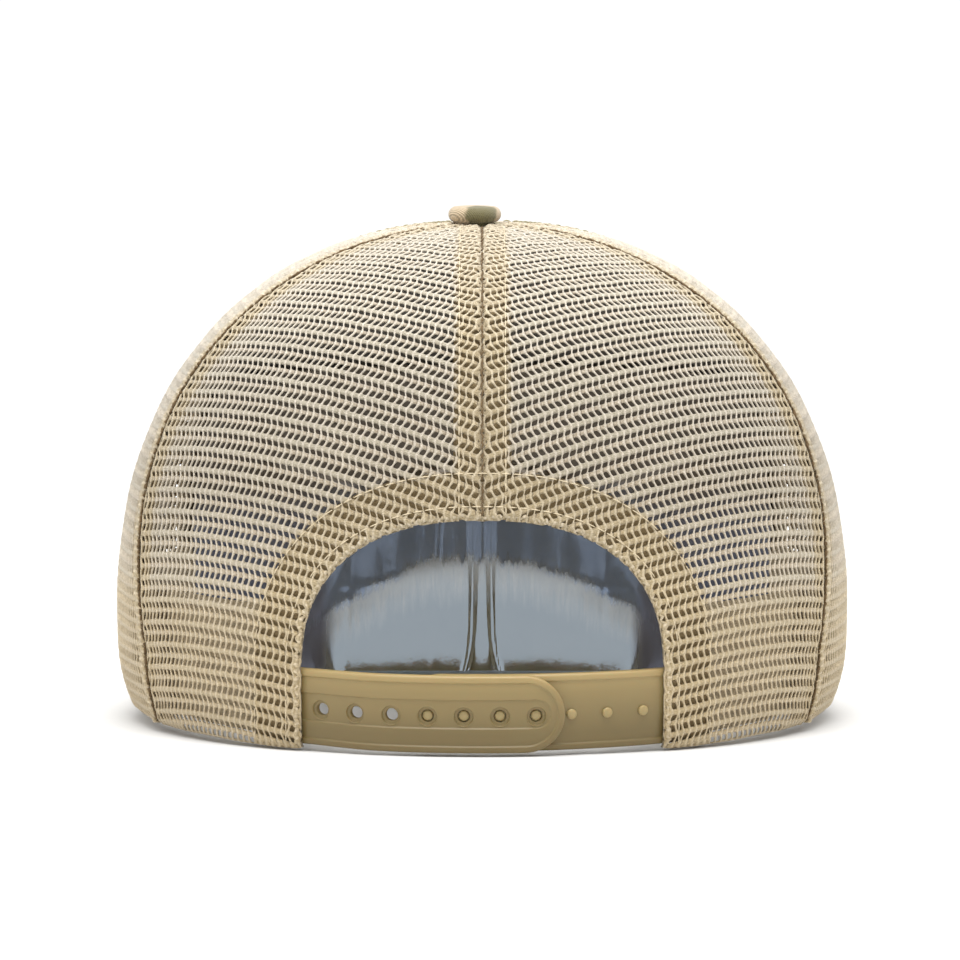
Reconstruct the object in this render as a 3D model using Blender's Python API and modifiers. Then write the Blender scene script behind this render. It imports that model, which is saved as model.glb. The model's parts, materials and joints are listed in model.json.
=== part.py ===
"""Trucker cap: six-panel crown with a mesh back, curved visor, snapback straps and a shape insert.

Lengths are metres. In the cap's own frame +Y is the front, +X the wearer's right and z = 0 the
plane of the rim at the back. Azimuth is the angle about the z axis from the rear centre, positive
towards +X. The empty cap_stance carries every piece, and tilts the frame so that the cap stands
on the floor plane on its rear rim and the side edges of its visor.
"""
import math

import bmesh
import bpy
from mathutils import Matrix, Vector

MM = 0.001
REAR = 0.0
FRONT = math.pi

# Crown: the outer surface of the fabric.
CROWN_HALF_WIDTH = 99 * MM
CROWN_HALF_LENGTH = 98 * MM
CROWN_HEIGHT = 130 * MM
BELLY_HEIGHT = 20 * MM
RIM_INSET_SIDE = 0.045
RIM_INSET_REAR = 0.012
REAR_SQUARENESS = 2.3
FRONT_SQUARENESS = 2.6
PANEL_FLATTENING = 0.06
FLATTENING_RISE = 0.8
PANEL_HOLLOW = 1.2
CENTER_SEAM_HOLLOW = 0.7
APEX_HOLE_RADIUS = 4.8 * MM

# Seams between the six panels.
REAR_SEAM = math.radians(64)
FRONT_SEAM = math.radians(122)
SEAM_GAP = 0.8 * MM
TAPE_WIDTH = 12 * MM
TAPE_TOP_RADIUS = 17 * MM
CENTER_BAND_WIDTH = 15 * MM

# Layers, as depths under the outer surface, and thicknesses.
MESH_THICKNESS = 0.8 * MM
TWILL_THICKNESS = 1.2 * MM
BACKING_DEPTH = 1.6 * MM
BACKING_THICKNESS = 0.8 * MM
TAPE_THICKNESS = 0.6 * MM
REAR_TAPE_DEPTH = 1.6 * MM
FRONT_TAPE_DEPTH = 3.0 * MM
FOAM_DEPTH = 4.2 * MM
FOAM_THICKNESS = 1.0 * MM
SWEATBAND_DEPTH = 5.8 * MM
SWEATBAND_THICKNESS = 0.8 * MM
INSERT_DEPTH = 7.3 * MM
INSERT_THICKNESS = 0.8 * MM

# Sweatband, its foam and the loose insert.
SWEATBAND_HEIGHT = 36 * MM
SWEATBAND_START = math.radians(31)
FOAM_SPREAD = math.radians(74)
FOAM_MARGIN = 2 * MM
INSERT_SPREAD = math.radians(60)
INSERT_FOOT = -5.5 * MM
INSERT_TOP = 88 * MM
INSERT_KNEE = 28 * MM
INSERT_REACH = 84.6 * MM
INSERT_LOWER_LEAN = 0.13
INSERT_UPPER_LEAN = 0.21
INSERT_RADIUS = 197 * MM

# Rear opening.
OPENING_HALF_WIDTH = 47 * MM
OPENING_SPRING = 20 * MM
OPENING_TOP = 60.6 * MM
OPENING_SQUARENESS = 2.35
HEM_WIDTH = 12.5 * MM

# Snapback straps.
STRAP_BOTTOM = 1.0 * MM
STRAP_HEIGHT = 20 * MM
STRAP_THICKNESS = 1.6 * MM
STRAP_GAP = 0.3 * MM
ROOT_DEPTH = 2.6 * MM
HINGE_X = OPENING_HALF_WIDTH - 0.6 * MM
HINGE_GAP = 0.4 * MM
ROOT_LENGTH = 10 * MM
OUTER_STRAP_DEPTH = 1.0 * MM
OUTER_STRAP_TIP = 21 * MM
INNER_STRAP_TIP = -21 * MM
STRAP_BLEND_LENGTH = 22 * MM
HOLE_COUNT = 7
HOLE_PITCH = 9.3 * MM
LAST_HOLE_X = 13.8 * MM
FIRST_PEG_X = -14.1 * MM
HOLE_MOUTH_RADIUS = 1.75 * MM
HOLE_BACK_RADIUS = 2.3 * MM
PEG_ROOT_RADIUS = 1.4 * MM
PEG_TIP_RADIUS = 1.25 * MM
PEG_SINK = 0.5 * MM
CUTTER_REACH = 1 * MM

# Visor: a sheet bent about the y axis, which slopes down to the front.
VISOR_SPREAD = math.radians(72)
VISOR_HALF_WIDTH = 94.5 * MM
VISOR_CORNER_Y = 30 * MM
VISOR_REACH = 137 * MM
VISOR_SQUARENESS = 2.3
VISOR_BEND = 15 * MM
VISOR_SLOPE = 0.105
VISOR_CLEARANCE = 0.7 * MM
BOARD_THICKNESS = 2.2 * MM
COVER_THICKNESS = 0.8 * MM
COVER_GAP = 0.45 * MM
COVER_OVERHANG = 1.4 * MM
VISOR_TOP = BOARD_THICKNESS / 2 + COVER_GAP + COVER_THICKNESS

# Button on the apex, set a little to the left of the seams' meeting point.
BUTTON_X = -2.0 * MM
BUTTON_RADIUS = 7.1 * MM
BUTTON_HEIGHT = 4.5 * MM
BUTTON_BASE = CROWN_HEIGHT + 0.3 * MM
BUTTON_CLOTH = 0.5 * MM
BUTTON_CORNER = 2 * MM
BUTTON_GAP = 0.35 * MM
DOME_DROP = 1.25
SHELL_WALL = 0.7 * MM
SHELL_TOP = BUTTON_BASE + BUTTON_HEIGHT - BUTTON_CLOTH - BUTTON_GAP
RIVET_RADIUS = 1.4 * MM
RIVET_HEAD_RADIUS = 4.3 * MM
RIVET_HEAD_HEIGHT = 0.8 * MM
DISC_RADIUS = 6 * MM
DISC_HEIGHT = 2.2 * MM
DISC_TOP = CROWN_HEIGHT - 2.8 * MM
SOCKET_DEPTH = 1.4 * MM

# Mesh fineness. Every layer of the crown has its rows at the same climbs.
PANEL_COLUMNS = 9
LOWER_RUNG = -0.5
UPPER_ROWS = 12
SMALLEST_RUNG = 0.02
BAND_ROWS = 3
SWEATBAND_COLUMNS = 50
FOAM_COLUMNS = 25
INSERT_COLUMNS = 20
VISOR_COLUMNS = 26
VISOR_ROWS = 4
ARCH_STEPS = 20
STRAP_COLUMNS = 16
STRAP_END_COLUMNS = 6
STRAP_END_ANGLE = math.radians(84)
PIN_SIDES = 14
TURN_STEPS = 28
DOME_STEPS = 3
MERGE_DISTANCE = 0.00001
NORMAL_STEP = 0.004

# Colour, roughness and metallic value of each material.
TAN_MESH = ("tan_mesh", (0.62, 0.53, 0.38), 0.75, 0.0)
TAN_TWILL = ("tan_twill", (0.55, 0.45, 0.30), 0.85, 0.0)
CAMO_TWILL = ("camo_twill", (0.42, 0.40, 0.26), 0.85, 0.0)
BUCKRAM = ("buckram", (0.06, 0.06, 0.07), 0.9, 0.0)
FOAM = ("foam", (0.70, 0.68, 0.62), 0.95, 0.0)
STRAP_PLASTIC = ("strap_plastic", (0.38, 0.29, 0.14), 0.4, 0.0)
BOARD_PLASTIC = ("board_plastic", (0.80, 0.80, 0.78), 0.5, 0.0)
CLEAR_PLASTIC = ("clear_plastic", (0.35, 0.39, 0.46), 0.12, 0.0)
STEEL = ("steel", (0.55, 0.55, 0.55), 0.35, 1.0)


# ---------------------------------------------------------------- crown surface

def visor_height(x, y):
    """Height of the visor's middle sheet over the point (x, y)."""
    return VISOR_BEND * (1 - (x / VISOR_HALF_WIDTH) ** 2) - VISOR_SLOPE * (y - VISOR_CORNER_Y)


def rim_height(azimuth):
    """Height of the crown's lower edge, which the visor lifts in front."""
    x = CROWN_HALF_WIDTH * math.sin(azimuth)
    y = -CROWN_HALF_LENGTH * math.cos(azimuth)
    if y < VISOR_CORNER_Y:
        return 0.0
    return max(0.0, visor_height(x, y))


def squareness(azimuth):
    """Exponent of the crown's profile, which is fuller in front."""
    frontness = max(0.0, -math.cos(azimuth)) ** 2
    return REAR_SQUARENESS + (FRONT_SQUARENESS - REAR_SQUARENESS) * frontness


def meridian(azimuth, climb):
    """Reach, as a share of the belly's radius, and height of the crown at a climb.

    climb is -1 where the height is 0, 0 at the belly and 1 at the apex.
    """
    if climb < 0:
        inset = RIM_INSET_REAR + (RIM_INSET_SIDE - RIM_INSET_REAR) * math.sin(azimuth) ** 2
        return 1 - inset * climb * climb, BELLY_HEIGHT * (1 + climb)
    power = 2 / squareness(azimuth)
    angle = min(climb, 1.0) * math.pi / 2
    reach = math.cos(angle) ** power
    height = BELLY_HEIGHT + (CROWN_HEIGHT - BELLY_HEIGHT) * math.sin(angle) ** power
    return reach, height


def panel_fullness(azimuth, climb):
    """Factor on the radius that flattens the panels, so that the side seams stand out as ridges."""
    if climb <= 0:
        return 1.0
    turned = abs((azimuth + math.pi) % (2 * math.pi) - math.pi)
    if REAR_SEAM < turned < FRONT_SEAM:
        share = (turned - REAR_SEAM) / (FRONT_SEAM - REAR_SEAM)
        hollow = 4 * share * (1 - share)
    else:
        share = min(turned / REAR_SEAM, (FRONT - turned) / (FRONT - FRONT_SEAM))
        hollow = (CENTER_SEAM_HOLLOW + PANEL_HOLLOW * share) * (1 - share)
    flattening = PANEL_FLATTENING * math.sin(math.pi * min(climb, 1.0) ** FLATTENING_RISE)
    return (1 - flattening * hollow) / (1 - flattening)


def surface_point(azimuth, climb):
    """Point on the crown's outer surface."""
    reach, height = meridian(azimuth, climb)
    reach *= panel_fullness(azimuth, climb)
    x = CROWN_HALF_WIDTH * reach * math.sin(azimuth)
    y = -CROWN_HALF_LENGTH * reach * math.cos(azimuth)
    return Vector((x, y, height))


def surface_normal(azimuth, climb):
    """Outward direction of the crown's surface."""
    top = min(climb + NORMAL_STEP, 0.999)
    across = surface_point(azimuth + NORMAL_STEP, climb) - surface_point(azimuth - NORMAL_STEP, climb)
    upward = surface_point(azimuth, top) - surface_point(azimuth, top - 2 * NORMAL_STEP)
    return across.cross(upward).normalized()


def crown_point(azimuth, climb, depth=0.0):
    """Point at a depth under the crown's outer surface."""
    return surface_point(azimuth, climb) - depth * surface_normal(azimuth, climb)


def climb_at_height(azimuth, height):
    """Climb of the crown where it has a height."""
    if height < BELLY_HEIGHT:
        return height / BELLY_HEIGHT - 1
    share = (height - BELLY_HEIGHT) / (CROWN_HEIGHT - BELLY_HEIGHT)
    return math.asin(share ** (squareness(azimuth) / 2)) * 2 / math.pi


def climb_at_radius(azimuth, radius):
    """Climb of the crown, near its top, where it has a radius."""
    reach = radius / CROWN_HALF_WIDTH
    return math.acos(reach ** (squareness(azimuth) / 2)) * 2 / math.pi


def shifted(azimuth, distance, climb):
    """Azimuth that is a distance round the crown from another."""
    spot = surface_point(azimuth, climb)
    return azimuth + distance / math.hypot(spot.x, spot.y)


def rear_azimuth(x, height):
    """Azimuth at which the back of the crown has an x and a height."""
    azimuth = 0.0
    for _ in range(6):
        spot = surface_point(azimuth + 1e-4, climb_at_height(azimuth, height))
        scale = spot.x / math.sin(azimuth + 1e-4)
        azimuth = math.asin(x / scale)
    return azimuth


def rear_point(x, height, depth):
    """Point at a depth under the back of the crown, over an x and a height."""
    azimuth = rear_azimuth(x, height)
    return crown_point(azimuth, climb_at_height(azimuth, height), depth)


# ---------------------------------------------------------------- scene helpers

def clear_scene():
    for thing in list(bpy.data.objects):
        bpy.data.objects.remove(thing, do_unlink=True)


def new_collection(name):
    collection = bpy.data.collections.new(name)
    bpy.context.scene.collection.children.link(collection)
    return collection


def get_material(spec):
    name, colour, roughness, metallic = spec
    material = bpy.data.materials.get(name)
    if material is None:
        material = bpy.data.materials.new(name)
        material.use_nodes = True
        shader = material.node_tree.nodes["Principled BSDF"]
        shader.inputs["Base Color"].default_value = (*colour, 1)
        shader.inputs["Roughness"].default_value = roughness
        shader.inputs["Metallic"].default_value = metallic
    return material


def add_object(name, mesh, spec, origin=Vector()):
    """Part object under the cap's empty, with its origin moved to a point of the cap's frame."""
    mesh.transform(Matrix.Translation(-origin))
    mesh.materials.append(get_material(spec))
    part = bpy.data.objects.new(name, mesh)
    part.parent = STANCE
    part.location = origin
    PARTS.objects.link(part)
    return part


def add_cutter(name, mesh):
    cutter = bpy.data.objects.new(name, mesh)
    cutter.parent = STANCE
    cutter.hide_render = True
    cutter.display_type = "WIRE"
    CUTTERS.objects.link(cutter)
    return cutter


def grid_mesh(name, rows):
    """Mesh of four-sided faces between rows of points, facing out where rows go up."""
    columns = len(rows[0])
    points = [point for row in rows for point in row]
    faces = []
    for row in range(len(rows) - 1):
        for column in range(columns - 1):
            corner = row * columns + column
            faces.append((corner, corner + 1, corner + columns + 1, corner + columns))
    mesh = bpy.data.meshes.new(name)
    mesh.from_pydata(points, [], faces)
    mesh.shade_smooth()
    return mesh


def add_sheet(name, rows, thickness, spec, origin=Vector()):
    """Closed sheet under the surface that the rows of points span."""
    part = add_object(name, grid_mesh(name, rows), spec, origin)
    solidify = part.modifiers.new("thickness", "SOLIDIFY")
    solidify.thickness = thickness
    solidify.offset = -1
    solidify.use_even_offset = True
    solidify.use_quality_normals = True
    return part


def add_boolean(part, other, operation):
    boolean = part.modifiers.new(other.name, "BOOLEAN")
    boolean.operation = operation
    boolean.solver = "EXACT"
    boolean.object = other


def add_turned(name, profile, spec):
    """Piece turned about the button's axis; the profile runs down the outer side."""
    mesh = bpy.data.meshes.new(name)
    points = [(radius, 0, height) for radius, height in profile]
    edges = [(i, i + 1) for i in range(len(points) - 1)]
    mesh.from_pydata(points, edges, [])
    part = add_object(name, mesh, spec)
    part.location.x = BUTTON_X
    screw = part.modifiers.new("turn", "SCREW")
    screw.axis = "Z"
    screw.steps = TURN_STEPS
    screw.render_steps = TURN_STEPS
    screw.use_merge_vertices = True
    screw.merge_threshold = MERGE_DISTANCE
    screw.use_smooth_shade = True
    return part


# ---------------------------------------------------------------- crown

def crown_rows(start, end, columns, climbs, depth):
    """Rows of points over the crown between two edges.

    start and end are (azimuth, distance round the crown from it); climbs gives the rows' climbs
    at an azimuth.
    """
    count = len(climbs(start[0]))
    rows = []
    for row in range(count):
        points = []
        for column in range(columns + 1):
            share = column / columns
            middle = start[0] + (end[0] - start[0]) * share
            climb = climbs(middle)[row]
            first = shifted(*start, climb)
            last = shifted(*end, climb)
            points.append(crown_point(first + (last - first) * share, climb, depth))
        rows.append(points)
    return rows


def climb_ladder(bottom, top):
    """Climbs from bottom to top by rungs that every layer of the crown shares."""
    rungs = [LOWER_RUNG] + [row / UPPER_ROWS for row in range(UPPER_ROWS)]
    return [bottom] + [rung for rung in rungs if bottom < rung < top - SMALLEST_RUNG] + [top]


def rim_to_radius(radius, margin=0.0):
    """Climbs from the rim, or a margin above it, up to a radius round the apex."""
    def climbs(azimuth):
        bottom = climb_at_height(azimuth, rim_height(azimuth) + margin)
        return climb_ladder(bottom, climb_at_radius(azimuth, radius))
    return climbs


def band_climbs(bottom, top):
    """Climbs of a band between two heights above the rim."""
    def climbs(azimuth):
        rises = [bottom + (top - bottom) * row / BAND_ROWS for row in range(BAND_ROWS + 1)]
        return [climb_at_height(azimuth, rim_height(azimuth) + rise) for rise in rises]
    return climbs


def add_panel(name, start, end, thickness, spec):
    edges = (start, SEAM_GAP / 2), (end, -SEAM_GAP / 2)
    rows = crown_rows(*edges, PANEL_COLUMNS, rim_to_radius(APEX_HOLE_RADIUS), 0.0)
    return add_sheet(name, rows, thickness, spec)


def add_backing(name, start, end):
    margin = TAPE_WIDTH / 8
    edges = (start, margin), (end, -margin)
    climbs = rim_to_radius(APEX_HOLE_RADIUS + margin, margin)
    rows = crown_rows(*edges, PANEL_COLUMNS, climbs, BACKING_DEPTH)
    add_sheet(name, rows, BACKING_THICKNESS, BUCKRAM)


def add_seam_tape(name, azimuth, depth):
    half = TAPE_WIDTH / 2
    climbs = rim_to_radius(TAPE_TOP_RADIUS, FOAM_MARGIN)
    rows = crown_rows((azimuth, -half), (azimuth, half), 2, climbs, depth)
    add_sheet(name, rows, TAPE_THICKNESS, TAN_TWILL)


def add_crown():
    opening = add_opening_cutter()
    for side, sign in (("left", -1), ("right", 1)):
        back = sorted((sign * REAR, sign * REAR_SEAM))
        flank = sorted((sign * REAR_SEAM, sign * FRONT_SEAM))
        face = sorted((sign * FRONT_SEAM, sign * FRONT))
        rear = add_panel(f"rear_mesh_panel_{side}", *back, MESH_THICKNESS, TAN_MESH)
        add_boolean(rear, opening, "DIFFERENCE")
        add_panel(f"side_mesh_panel_{side}", *flank, MESH_THICKNESS, TAN_MESH)
        add_panel(f"front_panel_{side}", *face, TWILL_THICKNESS, CAMO_TWILL)
        add_backing(f"front_backing_{side}", *face)
        add_seam_tape(f"side_rear_seam_tape_{side}", sign * REAR_SEAM, REAR_TAPE_DEPTH)
        add_seam_tape(f"front_side_seam_tape_{side}", sign * FRONT_SEAM, FRONT_TAPE_DEPTH)
    add_seam_tape("front_center_seam_tape", FRONT, FRONT_TAPE_DEPTH)
    add_center_band()
    add_opening_hem()


# ---------------------------------------------------------------- rear opening

def opening_outline(spread):
    """Points (x, height) up the right side of the rear opening, over it and down the left."""
    power = 2 / OPENING_SQUARENESS
    rise = OPENING_TOP - OPENING_SPRING
    points = [(OPENING_HALF_WIDTH + spread, 0.0), (OPENING_HALF_WIDTH + spread, OPENING_SPRING / 2)]
    for step in range(ARCH_STEPS + 1):
        angle = math.pi * step / ARCH_STEPS
        across = math.copysign(abs(math.cos(angle)) ** power, math.cos(angle))
        up = abs(math.sin(angle)) ** power
        slope_x = math.copysign(abs(across) ** (OPENING_SQUARENESS - 1), across) / OPENING_HALF_WIDTH
        slope_z = up ** (OPENING_SQUARENESS - 1) / rise
        length = math.hypot(slope_x, slope_z)
        x = OPENING_HALF_WIDTH * across + spread * slope_x / length
        points.append((x, OPENING_SPRING + rise * up + spread * slope_z / length))
    points.append((-OPENING_HALF_WIDTH - spread, OPENING_SPRING / 2))
    points.append((-OPENING_HALF_WIDTH - spread, 0.0))
    return points


def add_opening_cutter():
    """Prism through the back of the crown in the shape of the rear opening."""
    below = -10 * MM
    outline = opening_outline(0.0)
    outline[0] = (outline[0][0], below)
    outline[-1] = (outline[-1][0], below)
    near = [(x, -CROWN_HALF_LENGTH * 1.5, z) for x, z in outline]
    mesh = bpy.data.meshes.new("rear_opening_cutter")
    mesh.from_pydata(near, [], [range(len(near))])
    body = bmesh.new()
    body.from_mesh(mesh)
    push = bmesh.ops.extrude_face_region(body, geom=body.faces[:])
    moved = [item for item in push["geom"] if isinstance(item, bmesh.types.BMVert)]
    bmesh.ops.translate(body, verts=moved, vec=(0, CROWN_HALF_LENGTH, 0))
    bmesh.ops.recalc_face_normals(body, faces=body.faces)
    body.to_mesh(mesh)
    body.free()
    return add_cutter("rear_opening_cutter", mesh)


def add_opening_hem():
    """Doubled band of mesh behind the edge of the rear opening."""
    rows = []
    for share in (1.0, 0.5, 0.0):
        outline = opening_outline(HEM_WIDTH * share)
        rows.append([rear_point(x, z, REAR_TAPE_DEPTH) for x, z in reversed(outline)])
    add_sheet("rear_opening_hem", rows[::-1], TAPE_THICKNESS, TAN_MESH)


def add_center_band():
    """Doubled band of mesh behind the rear centre seam, from the hem to the apex."""
    half = CENTER_BAND_WIDTH / 2
    bottom = climb_at_height(REAR, OPENING_TOP + HEM_WIDTH + SEAM_GAP)
    top = climb_at_radius(REAR, TAPE_TOP_RADIUS)

    def climbs(azimuth):
        return climb_ladder(bottom, top)
    rows = crown_rows((REAR, -half), (REAR, half), 2, climbs, REAR_TAPE_DEPTH)
    add_sheet("rear_center_seam_band", rows, TAPE_THICKNESS, TAN_MESH)


# ---------------------------------------------------------------- sweatband and insert

def add_sweatband():
    end = 2 * math.pi - SWEATBAND_START
    climbs = band_climbs(FOAM_MARGIN / 2, SWEATBAND_HEIGHT + FOAM_MARGIN / 2)
    rows = crown_rows((SWEATBAND_START, 0), (end, 0), SWEATBAND_COLUMNS, climbs, SWEATBAND_DEPTH)
    add_sheet("sweatband", rows, SWEATBAND_THICKNESS, TAN_TWILL)
    climbs = band_climbs(FOAM_MARGIN, SWEATBAND_HEIGHT - FOAM_MARGIN)
    edges = (FRONT - FOAM_SPREAD, 0), (FRONT + FOAM_SPREAD, 0)
    rows = crown_rows(*edges, FOAM_COLUMNS, climbs, FOAM_DEPTH)
    add_sheet("sweatband_foam", rows, FOAM_THICKNESS, FOAM)


def flattened(point):
    """A point of the insert, moved back where the film's flat middle stands off the crown."""
    x, y, z = point
    lean = INSERT_LOWER_LEAN if z < INSERT_KNEE else INSERT_UPPER_LEAN
    flat = INSERT_REACH + lean * (z - INSERT_KNEE) - x * x / (2 * INSERT_RADIUS)
    return x, min(y, flat), z


def add_shape_insert():
    """Clear former that stands loose inside the front of the crown."""
    def climbs(azimuth):
        return climb_ladder(climb_at_height(azimuth, INSERT_FOOT), climb_at_height(azimuth, INSERT_TOP))
    edges = (FRONT - INSERT_SPREAD, 0), (FRONT + INSERT_SPREAD, 0)
    rows = crown_rows(*edges, INSERT_COLUMNS, climbs, INSERT_DEPTH)
    rows = [[flattened(point) for point in row] for row in rows]
    add_sheet("shape_insert", rows, INSERT_THICKNESS, CLEAR_PLASTIC)


# ---------------------------------------------------------------- visor

def visor_outline(across, spread=0.0):
    """Point (x, y) of the visor's outer edge; across runs from -1 on the left to 1."""
    power = 2 / VISOR_SQUARENESS
    angle = across * math.pi / 2
    x = (VISOR_HALF_WIDTH + spread) * math.copysign(abs(math.sin(angle)) ** power, across)
    y = VISOR_CORNER_Y + (VISOR_REACH + spread) * abs(math.cos(angle)) ** power
    return x, y


def visor_point(across, along, lift, spread=0.0):
    """Point of the visor; along runs from 0 at the crown to 1 at the outer edge."""
    azimuth = FRONT - across * VISOR_SPREAD
    climb = climb_at_height(azimuth, rim_height(azimuth) + VISOR_TOP)
    inner = crown_point(azimuth, climb, -VISOR_CLEARANCE)
    outer_x, outer_y = visor_outline(across, spread)
    x = inner.x + (outer_x - inner.x) * along
    y = inner.y + (outer_y - inner.y) * along
    height = rim_height(azimuth) if along == 0 else visor_height(x, y)
    return Vector((x, y, height + lift))


def visor_rows(lift, spread=0.0):
    shares = [column * 2 / VISOR_COLUMNS - 1 for column in range(VISOR_COLUMNS + 1)]
    alongs = [row / VISOR_ROWS for row in range(VISOR_ROWS + 1)]
    return [[visor_point(across, along, lift, spread) for across in shares] for along in alongs]


def add_visor():
    board_top = BOARD_THICKNESS / 2
    add_sheet("visor_board", visor_rows(board_top), BOARD_THICKNESS, BOARD_PLASTIC)
    add_sheet("visor_under_cover", visor_rows(-board_top - COVER_GAP), COVER_THICKNESS, CAMO_TWILL)
    rows = visor_rows(VISOR_TOP, COVER_OVERHANG)
    skirt = BOARD_THICKNESS + COVER_GAP + COVER_THICKNESS
    rows.append([point - Vector((0, 0, skirt)) for point in rows[-1]])
    add_sheet("visor_top_cover", rows, COVER_THICKNESS, CAMO_TWILL)


# ---------------------------------------------------------------- straps

def smooth_share(value):
    share = min(1.0, max(0.0, value))
    return share * share * (3 - 2 * share)


def outer_strap_depth(x):
    """Depth of the outer face of the strap with holes, which is rooted on the left."""
    share = smooth_share((x + OPENING_HALF_WIDTH) / STRAP_BLEND_LENGTH)
    return ROOT_DEPTH + (OUTER_STRAP_DEPTH - ROOT_DEPTH) * share


def inner_strap_depth(x):
    """Depth of the outer face of the strap with pegs, which is rooted on the right."""
    overlap = OUTER_STRAP_DEPTH + STRAP_THICKNESS + STRAP_GAP
    share = smooth_share((OPENING_HALF_WIDTH - x) / STRAP_BLEND_LENGTH)
    return ROOT_DEPTH + (overlap - ROOT_DEPTH) * share


def strap_outline(root_x, tip_x):
    """Stations (x, share of the half height) from a strap's root to its round tip."""
    radius = math.copysign(STRAP_HEIGHT / 2, tip_x - root_x)
    round_start = tip_x - radius
    straight = [(root_x + (round_start - root_x) * i / STRAP_COLUMNS, 1) for i in range(STRAP_COLUMNS)]
    angles = [STRAP_END_ANGLE * i / STRAP_END_COLUMNS for i in range(STRAP_END_COLUMNS + 1)]
    return straight + [(round_start + radius * math.sin(angle), math.cos(angle)) for angle in angles]


def strap_point(x, rise, depth):
    """Point of a strap's face, which is straight from bottom to top; rise runs from -1 to 1."""
    low = rear_point(x, STRAP_BOTTOM, depth)
    high = rear_point(x, STRAP_BOTTOM + STRAP_HEIGHT, depth)
    return low.lerp(high, (rise + 1) / 2)


def strap_rows(stations, depth_at):
    """Bottom and top edge of a strap through its stations (x, share of the half height)."""
    ordered = sorted(stations)
    return [[strap_point(x, sign * half, depth_at(x)) for x, half in ordered] for sign in (-1, 1)]


def add_strap(name, root_x, tip_x, depth_at, hinge_depth):
    """Strap whose origin is on its hinge line at the root."""
    hinge = strap_point(math.copysign(HINGE_X, root_x), 0, hinge_depth)
    rows = strap_rows(strap_outline(root_x, tip_x), depth_at)
    return add_sheet(name, rows, STRAP_THICKNESS, STRAP_PLASTIC, hinge)


def pin_matrix(x, depth):
    """Frame at a point of a strap's middle line, with +Z out of its outer face."""
    across = strap_point(x + MM, 0, depth) - strap_point(x - MM, 0, depth)
    upward = strap_point(x, 1, depth) - strap_point(x, -1, depth)
    rotation = across.cross(upward).to_track_quat("Z", "Y").to_matrix().to_4x4()
    return Matrix.Translation(strap_point(x, 0, depth)) @ rotation


def pins_mesh(name, first_x, depth_at, low, high, low_radius, high_radius):
    """Row of tapered pins along a strap, from a low to a high level over its outer face."""
    body = bmesh.new()
    for index in range(HOLE_COUNT):
        x = first_x + index * HOLE_PITCH
        centre = Matrix.Translation((0, 0, (low + high) / 2))
        bmesh.ops.create_cone(
            body, cap_ends=True, segments=PIN_SIDES, radius1=low_radius, radius2=high_radius,
            depth=high - low, matrix=pin_matrix(x, depth_at(x)) @ centre)
    mesh = bpy.data.meshes.new(name)
    body.to_mesh(mesh)
    body.free()
    return mesh


def add_strap_with_holes():
    strap = add_strap(
        "strap_with_holes", -HINGE_X + HINGE_GAP / 2, OUTER_STRAP_TIP, outer_strap_depth, ROOT_DEPTH)
    spread = (HOLE_BACK_RADIUS - HOLE_MOUTH_RADIUS) * CUTTER_REACH / STRAP_THICKNESS
    first_x = LAST_HOLE_X - (HOLE_COUNT - 1) * HOLE_PITCH
    mesh = pins_mesh(
        "strap_hole_cutter", first_x, outer_strap_depth, -STRAP_THICKNESS - CUTTER_REACH, CUTTER_REACH,
        HOLE_BACK_RADIUS + spread, HOLE_MOUTH_RADIUS - spread)
    add_boolean(strap, add_cutter("strap_hole_cutter", mesh), "DIFFERENCE")


def add_strap_with_pegs():
    hinge_depth = ROOT_DEPTH + STRAP_THICKNESS
    strap = add_strap(
        "strap_with_pegs", HINGE_X - HINGE_GAP / 2, INNER_STRAP_TIP, inner_strap_depth, hinge_depth)
    height = STRAP_THICKNESS + STRAP_GAP
    mesh = pins_mesh(
        "strap_pegs", FIRST_PEG_X, inner_strap_depth, -PEG_SINK, height, PEG_ROOT_RADIUS, PEG_TIP_RADIUS)
    add_boolean(strap, add_cutter("strap_pegs", mesh), "UNION")


def add_strap_root(name, sign):
    """Sewn end of a strap, between the hem and the lining."""
    start = sign * (HINGE_X + HINGE_GAP / 2)
    stations = [(start + sign * ROOT_LENGTH * i / 2, 1) for i in range(3)]
    add_sheet(name, strap_rows(stations, lambda x: ROOT_DEPTH), STRAP_THICKNESS, STRAP_PLASTIC)


def add_straps():
    add_strap_root("strap_root_left", -1)
    add_strap_root("strap_root_right", 1)
    add_strap_with_holes()
    add_strap_with_pegs()


# ---------------------------------------------------------------- button

def dome(radius, base, top, corner):
    """Profile from the axis over a domed top and round its corner down to a base."""
    shoulder = radius - corner
    level = top - DOME_DROP * corner
    profile = [(0.0, top), (radius / 2, top - (DOME_DROP - 1) * corner / 2)]
    for step in range(DOME_STEPS + 1):
        angle = math.pi / 2 * step / DOME_STEPS
        profile.append((shoulder + corner * math.sin(angle), level + corner * math.cos(angle)))
    profile.append((radius, base))
    return profile


def add_button_cover():
    """Cloth that wraps the shell and is tucked in under it."""
    top = BUTTON_BASE + BUTTON_HEIGHT
    tuck = BUTTON_RADIUS - BUTTON_CORNER
    floor = BUTTON_BASE + BUTTON_CLOTH
    outer = dome(BUTTON_RADIUS, BUTTON_BASE, top, BUTTON_CORNER)
    lip = [(tuck, BUTTON_BASE), (tuck, floor)]
    inner = dome(BUTTON_RADIUS - BUTTON_CLOTH, floor, top - BUTTON_CLOTH, BUTTON_CORNER - BUTTON_CLOTH)
    add_turned("button_cover", outer + lip + inner[::-1], CAMO_TWILL)


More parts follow.
